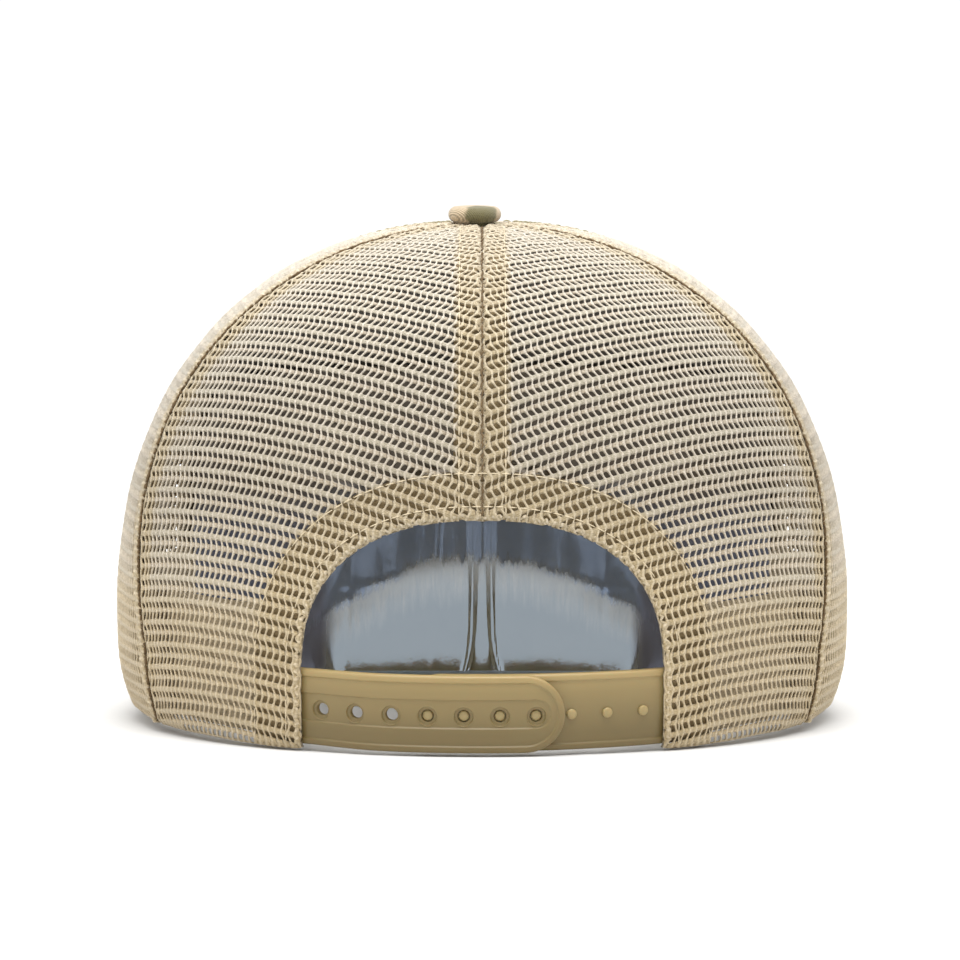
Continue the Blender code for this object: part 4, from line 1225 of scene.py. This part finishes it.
def strap_grid(sign, columns, rows):
    """Flat coordinates (x, y) over a strap with a round tip; sign is the side that the tip is on."""
    radius = STRAP_HEIGHT / 2
    bend_start = sign * (STRAP_TIP - radius)
    straight = np.linspace(-sign * ROOT_END, bend_start, columns)[:-1]
    angle = np.linspace(0, math.radians(88), 40)
    x = np.concatenate([straight, bend_start + sign * radius * np.sin(angle)])
    half = np.concatenate([np.full(straight.shape, radius), radius * np.cos(angle)])
    share = np.linspace(-1, 1, rows + 1)
    if sign < 0:
        x, half = x[::-1], half[::-1]
    return np.broadcast_to(x, (rows + 1, len(x))), share[:, None] * half[None, :]


def add_strap(name, sign, depth_at, hole_xs, nodes):
    """A strap with its root as one moulding that bends at the hinge."""
    x, y = strap_grid(sign, 260, 110)
    relief = strap_relief(x, y, sign, hole_xs.max() if len(hole_xs) else None)
    depth = depth_at(x)
    front = strap_point(x, y / (STRAP_HEIGHT / 2), depth - relief)
    back = strap_point(x, y / (STRAP_HEIGHT / 2), depth + STRAP_THICKNESS)
    faces = closed_faces(*x.shape)[:, ::-1]
    piece = add_piece(name, np.stack([front, back]), faces, STRAP, body=None)
    if len(hole_xs):
        cut_holes(piece, hole_xs, depth_at)
    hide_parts(*nodes)
    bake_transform(piece)


def pin_frame(x, depth):
    """Place and axes at a point of a strap's middle line, with +Z out of its face."""
    spot = strap_point(np.array([x - MM, x + MM, x, x, x]), np.array([0, 0, 1, -1, -0.04]), depth)
    across, upward = spot[1] - spot[0], spot[2] - spot[3]
    out = np.cross(across, upward)
    across, out = across / np.linalg.norm(across), out / np.linalg.norm(out)
    return spot[4], across, np.cross(out, across), out


def turned_mesh(x, depth, profile, sides=28):
    """Points and quads of a profile (radius, height) turned about a strap's pin axis."""
    spot, across, upward, out = pin_frame(x, depth)
    angle = np.arange(sides) * 2 * math.pi / sides
    circle = across * np.cos(angle)[:, None] + upward * np.sin(angle)[:, None]
    radii, heights = np.array(profile).T
    points = spot + radii[:, None, None] * circle[None] + heights[:, None, None] * out
    index = np.arange(len(profile) * sides).reshape(len(profile), sides)
    return points.reshape(-1, 3), ring_faces(index)[:, [0, 3, 2, 1]]


def cut_holes(piece, hole_xs, depth_at):
    """Bore the holes through the strap."""
    mesh = bpy.data.meshes.new("hole_cutter")
    points, faces = [], []
    profile = [(1.9 * MM, -3 * MM), (1.9 * MM, -0.3 * MM), (2.45 * MM, -0.2 * MM), (2.5 * MM, 1.5 * MM)]
    for x in hole_xs:
        made, quads = turned_mesh(x, depth_at(np.array(x)), profile)
        sides = len(made) // len(profile)
        corners = quads.tolist() + [list(range(sides))[::-1], list(range(len(made) - sides, len(made)))]
        first = sum(map(len, points))
        faces += [[corner + first for corner in face] for face in corners]
        points.append(made)
    mesh.from_pydata(np.concatenate(points).tolist(), [], faces)
    mesh.transform(STANCE)
    cutter = add_object("hole_cutter", mesh)
    boolean = piece.modifiers.new("holes", "BOOLEAN")
    boolean.operation = "DIFFERENCE"
    boolean.solver = "EXACT"
    boolean.object = cutter
    bpy.context.view_layer.update()
    done = bpy.data.meshes.new_from_object(piece.evaluated_get(bpy.context.evaluated_depsgraph_get()))
    piece.modifiers.clear()
    piece.data = done
    done.shade_smooth()
    done.set_sharp_from_angle(angle=math.radians(40))
    bpy.data.objects.remove(cutter)


def add_turned(name, xs, depth_at, profile, material, body):
    """One piece of the same turned shape at several places along a strap."""
    points, faces = joined([turned_mesh(x, depth_at(np.array(x)), profile, 40) for x in xs])
    add_piece(name, points, faces, material, body)


def add_pegs():
    """Pegs of the inner strap, with rounded heads."""
    height = STRAP_THICKNESS + STRAP_GAP - 0.2 * MM
    head = 1.32 * MM
    profile = [(1.4 * MM, -0.3 * MM), (1.3 * MM, 0.3 * MM), (1.25 * MM, height - 0.75 * MM),
               (head, height - 0.45 * MM), (head * 0.97, height - 0.2 * MM),
               (head * 0.8, height - 0.02 * MM), (head * 0.45, height + 0.05 * MM),
               (0.02 * MM, height + 0.07 * MM)]
    add_turned("strap_pegs", FIRST_PEG_X + np.arange(HOLE_COUNT) * HOLE_PITCH, inner_strap_depth, profile,
               PEG, "peg_strap")


def add_hole_rims(holes):
    """Rounded edge and step of the sunk ring round each hole."""
    profile = [(2.78 * MM, 0.30 * MM), (2.72 * MM, 0.50 * MM), (2.62 * MM, 0.60 * MM), (2.52 * MM, 0.56 * MM),
               (2.45 * MM, 0.40 * MM), (2.38 * MM, -0.02 * MM), (2.25 * MM, -0.15 * MM),
               (1.80 * MM, -0.16 * MM), (1.64 * MM, -0.25 * MM), (1.56 * MM, -1.5 * MM)]
    add_turned("hole_rims", holes, outer_strap_depth, profile, STRAP, "hole_strap")


def add_straps():
    """Both straps, with the pegs of one and the rims round the other's holes."""
    holes = LAST_HOLE_X - np.arange(HOLE_COUNT)[::-1] * HOLE_PITCH
    add_strap("hole_strap_moulding", 1, outer_strap_depth, holes, ("strap_with_holes", "strap_root_left"))
    add_strap("peg_strap_moulding", -1, inner_strap_depth, np.array([]),
              ("strap_with_pegs", "strap_root_right"))
    add_hole_rims(holes)
    add_pegs()


# ---------------------------------------------------------------- seams

def sideways(spots, ups):
    """Directions across a line of points that lies on the crown."""
    step = np.gradient(spots, axis=0)
    return np.cross(step / np.linalg.norm(step, axis=1, keepdims=True), ups)


def tube_mesh(spots, ups, out, girth):
    """Points and quads of a closed-round tube along spots; out and girth are the shift and radius."""
    sides = 8
    turn = np.arange(sides) * 2 * math.pi / sides
    aside = sideways(spots, ups)
    centre = spots + aside * out[:, None]
    circle = aside[:, None] * np.cos(turn)[None, :, None] + ups[:, None] * np.sin(turn)[None, :, None]
    points = centre[:, None] + circle * girth[:, None, None]
    return points, ring_faces(np.arange(len(spots) * sides).reshape(-1, sides))


def ragged(count, spread, seed):
    """A smooth random run of values between -spread and spread."""
    knots = np.random.default_rng(seed).uniform(-spread, spread, count // 3 + 3)
    return np.interp(np.arange(count) / 3, np.arange(len(knots)), knots)


def add_scallops():
    """Looped edge of the knit round the rear opening."""
    line, ups = opening_line(0.5 * MM, 0.7 * MM)
    spots, ups = resample(line, ups, 0.35 * MM)
    place = np.arange(len(spots)) * 0.35 * MM
    loop = np.abs(np.sin(place * math.pi / (2.3 * MM) + ragged(len(spots), 0.8, 3)))
    out = 0.75 * MM * loop + ragged(len(spots), 0.25 * MM, 5)
    girth = (0.34 + 0.30 * loop) * MM + ragged(len(spots), 0.08 * MM, 8)
    points, faces = tube_mesh(spots, ups, out, girth)
    coords = np.stack([np.repeat(place / HOLE_STEP, points.shape[1]), np.zeros(points.shape[:2]).ravel()], -1)
    # Tone 0.6 gives the loops part of the knit's tan tint over tape, which is partly painted light.
    add_piece("opening_edge", points, faces, KNIT, coords=coords,
              tones=np.full(points.shape[:2], 0.6))


def add_seam_line(name, azimuth, low, high, depth, girth, seed):
    """Gap where two panels meet, filled with a dark tube of painted shade and broken by the stitches that
    pull it together.
    """
    line, ups = meridian_line(azimuth, 0.0, low, high, depth)
    step, pitch = 0.25 * MM, 2.9 * MM
    spots, ups = resample(line, ups, step)
    place = np.arange(len(spots)) * step / pitch + ragged(len(spots), 0.3, seed + 2)
    out = girth * (1.5 * (place % 1 - 0.5)) + ragged(len(spots), 0.2 * MM, seed)
    swell = 0.2 + 0.8 * np.abs(np.sin(place * math.pi))
    girths = girth * swell * (1 + ragged(len(spots), 0.4, seed + 1))
    points, faces = tube_mesh(spots, ups, out, girths)
    add_piece(name, points, faces, PAINTED_SEAM_SHADE)


def add_welt(name, side):
    """Rolled edge of the side panel along the rear seam, gathered into slanting puckers."""
    high = float(climb_at_radius(REAR_SEAM, 9 * MM))
    line, ups = meridian_line(REAR_SEAM, 1.35 * MM, -0.97, high, 0.15 * MM)
    spots, ups = resample(line, ups, 0.3 * MM)
    sides = 12
    turn = np.arange(sides) * 2 * math.pi / sides
    place = np.arange(len(spots)) * 0.3 * MM
    aside = sideways(spots, ups)
    slant = place[:, None] * 2 * math.pi / (2.9 * MM) + turn[None, :] * 1.0
    wander = ragged(len(spots), 0.9, 31 if side < 0 else 37)[:, None]
    pucker = 1 + 0.38 * np.sin(slant + wander) + 0.12 * np.sin(slant * 2.3 + 1)
    wide = 1.15 * MM * np.cos(turn)[None, :] * pucker
    tall = 0.62 * MM * np.sin(turn)[None, :] * pucker
    points = spots[:, None] + aside[:, None] * wide[..., None] + ups[:, None] * tall[..., None]
    coords = np.stack([np.repeat(place / HOLE_STEP, sides), np.tile(turn / 9, len(spots))], -1)
    points, faces = handed(side, points, ring_faces(np.arange(len(spots) * sides).reshape(-1, sides)))
    # Tone 0.8 gives the welt most of the knit's tan tint over tape, which is partly painted light.
    add_piece(name, points, faces, KNIT, coords=coords, tones=np.full(points.shape[:2], 0.8))


def add_knit_seams():
    """Stitches, gaps painted dark with shade, and gathered edges of the seams in the knit."""
    hem_top = float(climb_at_height(0.0, OPENING_TOP + 1.0 * MM))
    apex = float(climb_at_radius(0.0, 9 * MM))
    lines = [meridian_line(0.0, offset, hem_top, apex, 0.14 * MM) for offset in CENTER_STITCHES]
    lines += [opening_line(spread, 0.14 * MM) for spread in HEM_STITCHES]
    add_stitches("mesh_stitches", lines, TAN_THREAD, radius=0.15 * MM)
    add_seam_line("center_seam_gap", 0.0, hem_top, apex, 0.30 * MM, 0.26 * MM, 11)
    low = float(climb_at_height(REAR_SEAM, 1.5 * MM))
    for side, name in ((-1, "left"), (1, "right")):
        seed = 17 + 5 * side
        add_seam_line(f"side_seam_gap_{name}", side * REAR_SEAM, low, apex, 0.2 * MM, 0.40 * MM, seed)
        add_welt(f"seam_welt_{name}", side)


def add_front_stitches():
    """Rows of stitches beside the seams of the front panels."""
    lines = []
    for azimuth in (FRONT_SEAM, 2 * math.pi - FRONT_SEAM, FRONT):
        low = float(climb_at_height(azimuth, rim_height(azimuth) + 3 * MM))
        high = float(climb_at_radius(azimuth, 12 * MM))
        toward = 1 if azimuth < FRONT else -1
        offsets = (-FRONT_STITCHES[0], FRONT_STITCHES[0]) if azimuth == FRONT else FRONT_STITCHES
        lines += [meridian_line(azimuth, toward * offset, low, high, 0.0) for offset in offsets]
    add_stitches("front_stitches", lines, OLIVE_THREAD)


# ---------------------------------------------------------------- tapes and linings

TAPE_HALF = 6 * MM
TAPE_TOP_RADIUS = 17 * MM
# Depths of the tapes behind the knit and of those behind the front panels' backings.
KNIT_TAPE_DEPTH = 1.6 * MM
FRONT_TAPE_DEPTH = 3.0 * MM


def add_tape(name, azimuth, half, low, depth, material, node):
    """Woven strip up the inside of a seam, with slightly thicker selvedges."""
    columns, rows = 16, 130
    high_climb = float(climb_at_radius(azimuth, TAPE_TOP_RADIUS))
    climb = np.linspace(float(climb_at_height(azimuth, low)), high_climb, rows + 1)[:, None]
    spot = surface(azimuth, climb[:, 0])
    offset = np.linspace(-half, half, columns + 1)[None, :]
    turned = azimuth + offset / np.hypot(spot[:, 0], spot[:, 1])[:, None]
    climb = np.broadcast_to(climb, turned.shape)
    bead = 0.10 * MM * (np.abs(offset) > half - 1.2 * MM)
    points = crown(turned, climb, depth - bead + 0.05 * MM * np.sin(climb * 60))
    back = crown(turned, climb, depth + 0.5 * MM + bead)
    piece = add_shell(name, back, points, material)
    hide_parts(node)


def add_hem():
    """Tape behind the knit round the rear opening."""
    lines = [opening_line(spread, KNIT_TAPE_DEPTH) for spread in np.linspace(0.45 * MM, HEM_WIDTH, 14)]
    front = np.stack([line for line, _ in lines])
    ups = np.stack([up for _, up in lines])
    piece = add_shell("hem_tape", front - 0.5 * MM * ups, front, TAPE)
    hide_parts("rear_opening_hem")


def add_front_backing(side):
    """Stiff open-weave backing of a front panel."""
    share, level = spans(40, 60, across=(0.012, 0.988))
    azimuth = FRONT_SEAM + (FRONT - FRONT_SEAM) * share
    bottom = climb_at_height(azimuth, rim_height(azimuth) + 1.2 * MM)
    top = climb_at_radius(azimuth, 8 * MM)
    climb = bottom + (top - bottom) * level
    azimuth = np.broadcast_to(azimuth, climb.shape)
    ripple = 0.12 * MM * np.sin(azimuth * 31) * np.sin(climb * 11)
    front, back = crown(azimuth, climb, 1.6 * MM + ripple), crown(azimuth, climb, 2.3 * MM + ripple)
    if side < 0:
        front[..., 0] *= -1
        back[..., 0] *= -1
        front, back = front[:, ::-1], back[:, ::-1]
    name = "left" if side < 0 else "right"
    piece = add_shell(f"buckram_backing_{name}", back, front, BUCKRAM)
    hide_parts(f"front_backing_{name}")


def add_foam():
    """Foam strip between the sweatband and the crown."""
    azimuth, rise = spans(160, 16, across=(FRONT - FOAM_SPREAD, FRONT + FOAM_SPREAD),
                          up=(2 * MM, SWEATBAND_TOP - 3 * MM))
    climb = climb_at_height(azimuth, rim_height(azimuth) + rise)
    azimuth = np.broadcast_to(azimuth, climb.shape)
    pinch = 0.3 * MM * (np.abs(2 * rise / SWEATBAND_TOP - 1)) ** 6
    front = crown(azimuth, climb, 4.2 * MM + pinch)
    back = crown(azimuth, climb, 5.25 * MM - pinch)
    piece = add_shell("sweatband_foam_strip", back, front, FOAM)
    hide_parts("sweatband_foam")


# ---------------------------------------------------------------- studio

def add_light(name, place, target, size, power):
    """Rectangular soft light aimed at a target."""
    lamp = bpy.data.lights.new(name, "AREA")
    lamp.shape = "RECTANGLE"
    lamp.size, lamp.size_y = size
    lamp.energy = power
    light = add_object(name, lamp)
    light.location = place
    light.rotation_euler = (Vector(target) - Vector(place)).to_track_quat("-Z", "Y").to_euler()


def add_room():
    """White room: brightest overhead and behind the cap, dimmer on the camera's side."""
    room = bpy.data.worlds.new("studio")
    room.use_nodes = True
    tree = room.node_tree
    apart = tree.nodes.new("ShaderNodeSeparateXYZ")
    tree.links.new(tree.nodes.new("ShaderNodeTexCoord").outputs["Generated"], apart.inputs[0])
    levels = []
    for socket, low, high, dim, bright in ((apart.outputs[1], -0.9, -0.1, 0.49, 1.06),
                                           (apart.outputs[2], 0.1, 1.0, 0.0, 0.85)):
        spread = tree.nodes.new("ShaderNodeMapRange")
        for name, value in (("From Min", low), ("From Max", high), ("To Min", dim), ("To Max", bright)):
            spread.inputs[name].default_value = value
        tree.links.new(socket, spread.inputs["Value"])
        levels.append(spread.outputs[0])
    total = tree.nodes.new("ShaderNodeMath")
    total.operation = "ADD"
    for level, socket in zip(levels, total.inputs):
        tree.links.new(level, socket)
    background = tree.nodes["Background"]
    background.inputs["Color"].default_value = (1.0, 1.0, 1.0, 1.0)
    tree.links.new(total.outputs[0], background.inputs["Strength"])
    bpy.context.scene.world = room


def add_studio():
    """Pale floor, a white room and a soft light."""
    bpy.context.scene.view_settings.view_transform = "Standard"
    add_room()
    mesh = bpy.data.meshes.new("floor")
    reach = 9.0
    corners = [(-reach, -reach, 0), (reach, -reach, 0), (reach, reach, 0), (-reach, reach, 0)]
    mesh.from_pydata(corners, [], [(0, 1, 2, 3)])
    floor = add_object("floor", mesh)
    floor.location.z = -0.3 * MM
    look = Look("floor_paper")
    grain = look.noise(look.place(), 400.0)
    look.bump(grain, 0.05, 0.1 * MM)
    mesh.materials.append(look.finish(look.mix(grain, (0.69, 0.69, 0.685), (0.72, 0.72, 0.715)), 0.9))
    add_light("top_softbox", (0.0, -0.45, 1.3), (0, 0, 0.05), (1.0, 0.7), 16)


def add_camera():
    """Straight behind the cap, a little above it, through a long lens."""
    camera_data = bpy.data.cameras.new("camera")
    camera_data.lens = 200.9
    camera_data.shift_x, camera_data.shift_y = 0.002, 0.0016
    camera_data.sensor_width = 36
    camera_data.clip_end = 50
    camera = add_object("camera", camera_data)
    aim = Vector((-0.0011, -0.0376, 0.0632))
    distance, elevation = 1.45, math.radians(4.1)
    camera.location = aim + distance * Vector((0, -math.cos(elevation), math.sin(elevation)))
    camera.rotation_euler = (aim - camera.location).to_track_quat("-Z", "Y").to_euler()
    bpy.context.scene.camera = camera


def add_panels():
    """Knitted and camo panels of both sides."""
    for side, name in ((-1, "left"), (1, "right")):
        rear = knit_panel(f"knit_rear_{name}", side, (0.0, REAR_SEAM, True), f"rear_mesh_panel_{name}")
        flank = knit_panel(f"knit_side_{name}", side, (REAR_SEAM, FRONT_SEAM, False),
                           f"side_mesh_panel_{name}")
        add_front_panel(side)


def add_linings():
    """Tapes, backings and foam inside the crown."""
    add_hem()
    add_tape("center_band_tape", 0.0, CENTER_BAND_HALF, OPENING_TOP + HEM_WIDTH - 1.0 * MM,
             KNIT_TAPE_DEPTH, TAPE, "rear_center_seam_band")
    for side, name in ((-1, "left"), (1, "right")):
        add_tape(f"rear_seam_tape_{name}", side * REAR_SEAM, TAPE_HALF, 1.5 * MM, KNIT_TAPE_DEPTH, TAPE,
                 f"side_rear_seam_tape_{name}")
        add_tape(f"front_seam_tape_{name}", side * FRONT_SEAM, TAPE_HALF, 2 * MM, FRONT_TAPE_DEPTH, LINING,
                 f"front_side_seam_tape_{name}")
        add_front_backing(side)
    add_tape("front_center_tape", FRONT, TAPE_HALF, 16 * MM, FRONT_TAPE_DEPTH, LINING,
             "front_center_seam_tape")
    add_foam()


def dress_cad_nodes():
    """Materials for the hard CAD nodes that stay as they are."""
    dressed = {"visor_board": BOARD, "button_inner_disc": BOARD, "button_shell": STEEL, "button_rivet": STEEL}
    for name, material in dressed.items():
        mesh = frame["nodes"][name].data
        mesh.materials.clear()
        mesh.materials.append(material)


add_panels()
add_scallops()
add_knit_seams()
add_front_stitches()
add_linings()
add_sweatband()
add_insert()
add_visor_top()
add_visor_under()
add_visor_stitches()
add_button()
add_straps()
dress_cad_nodes()
add_studio()
add_camera()
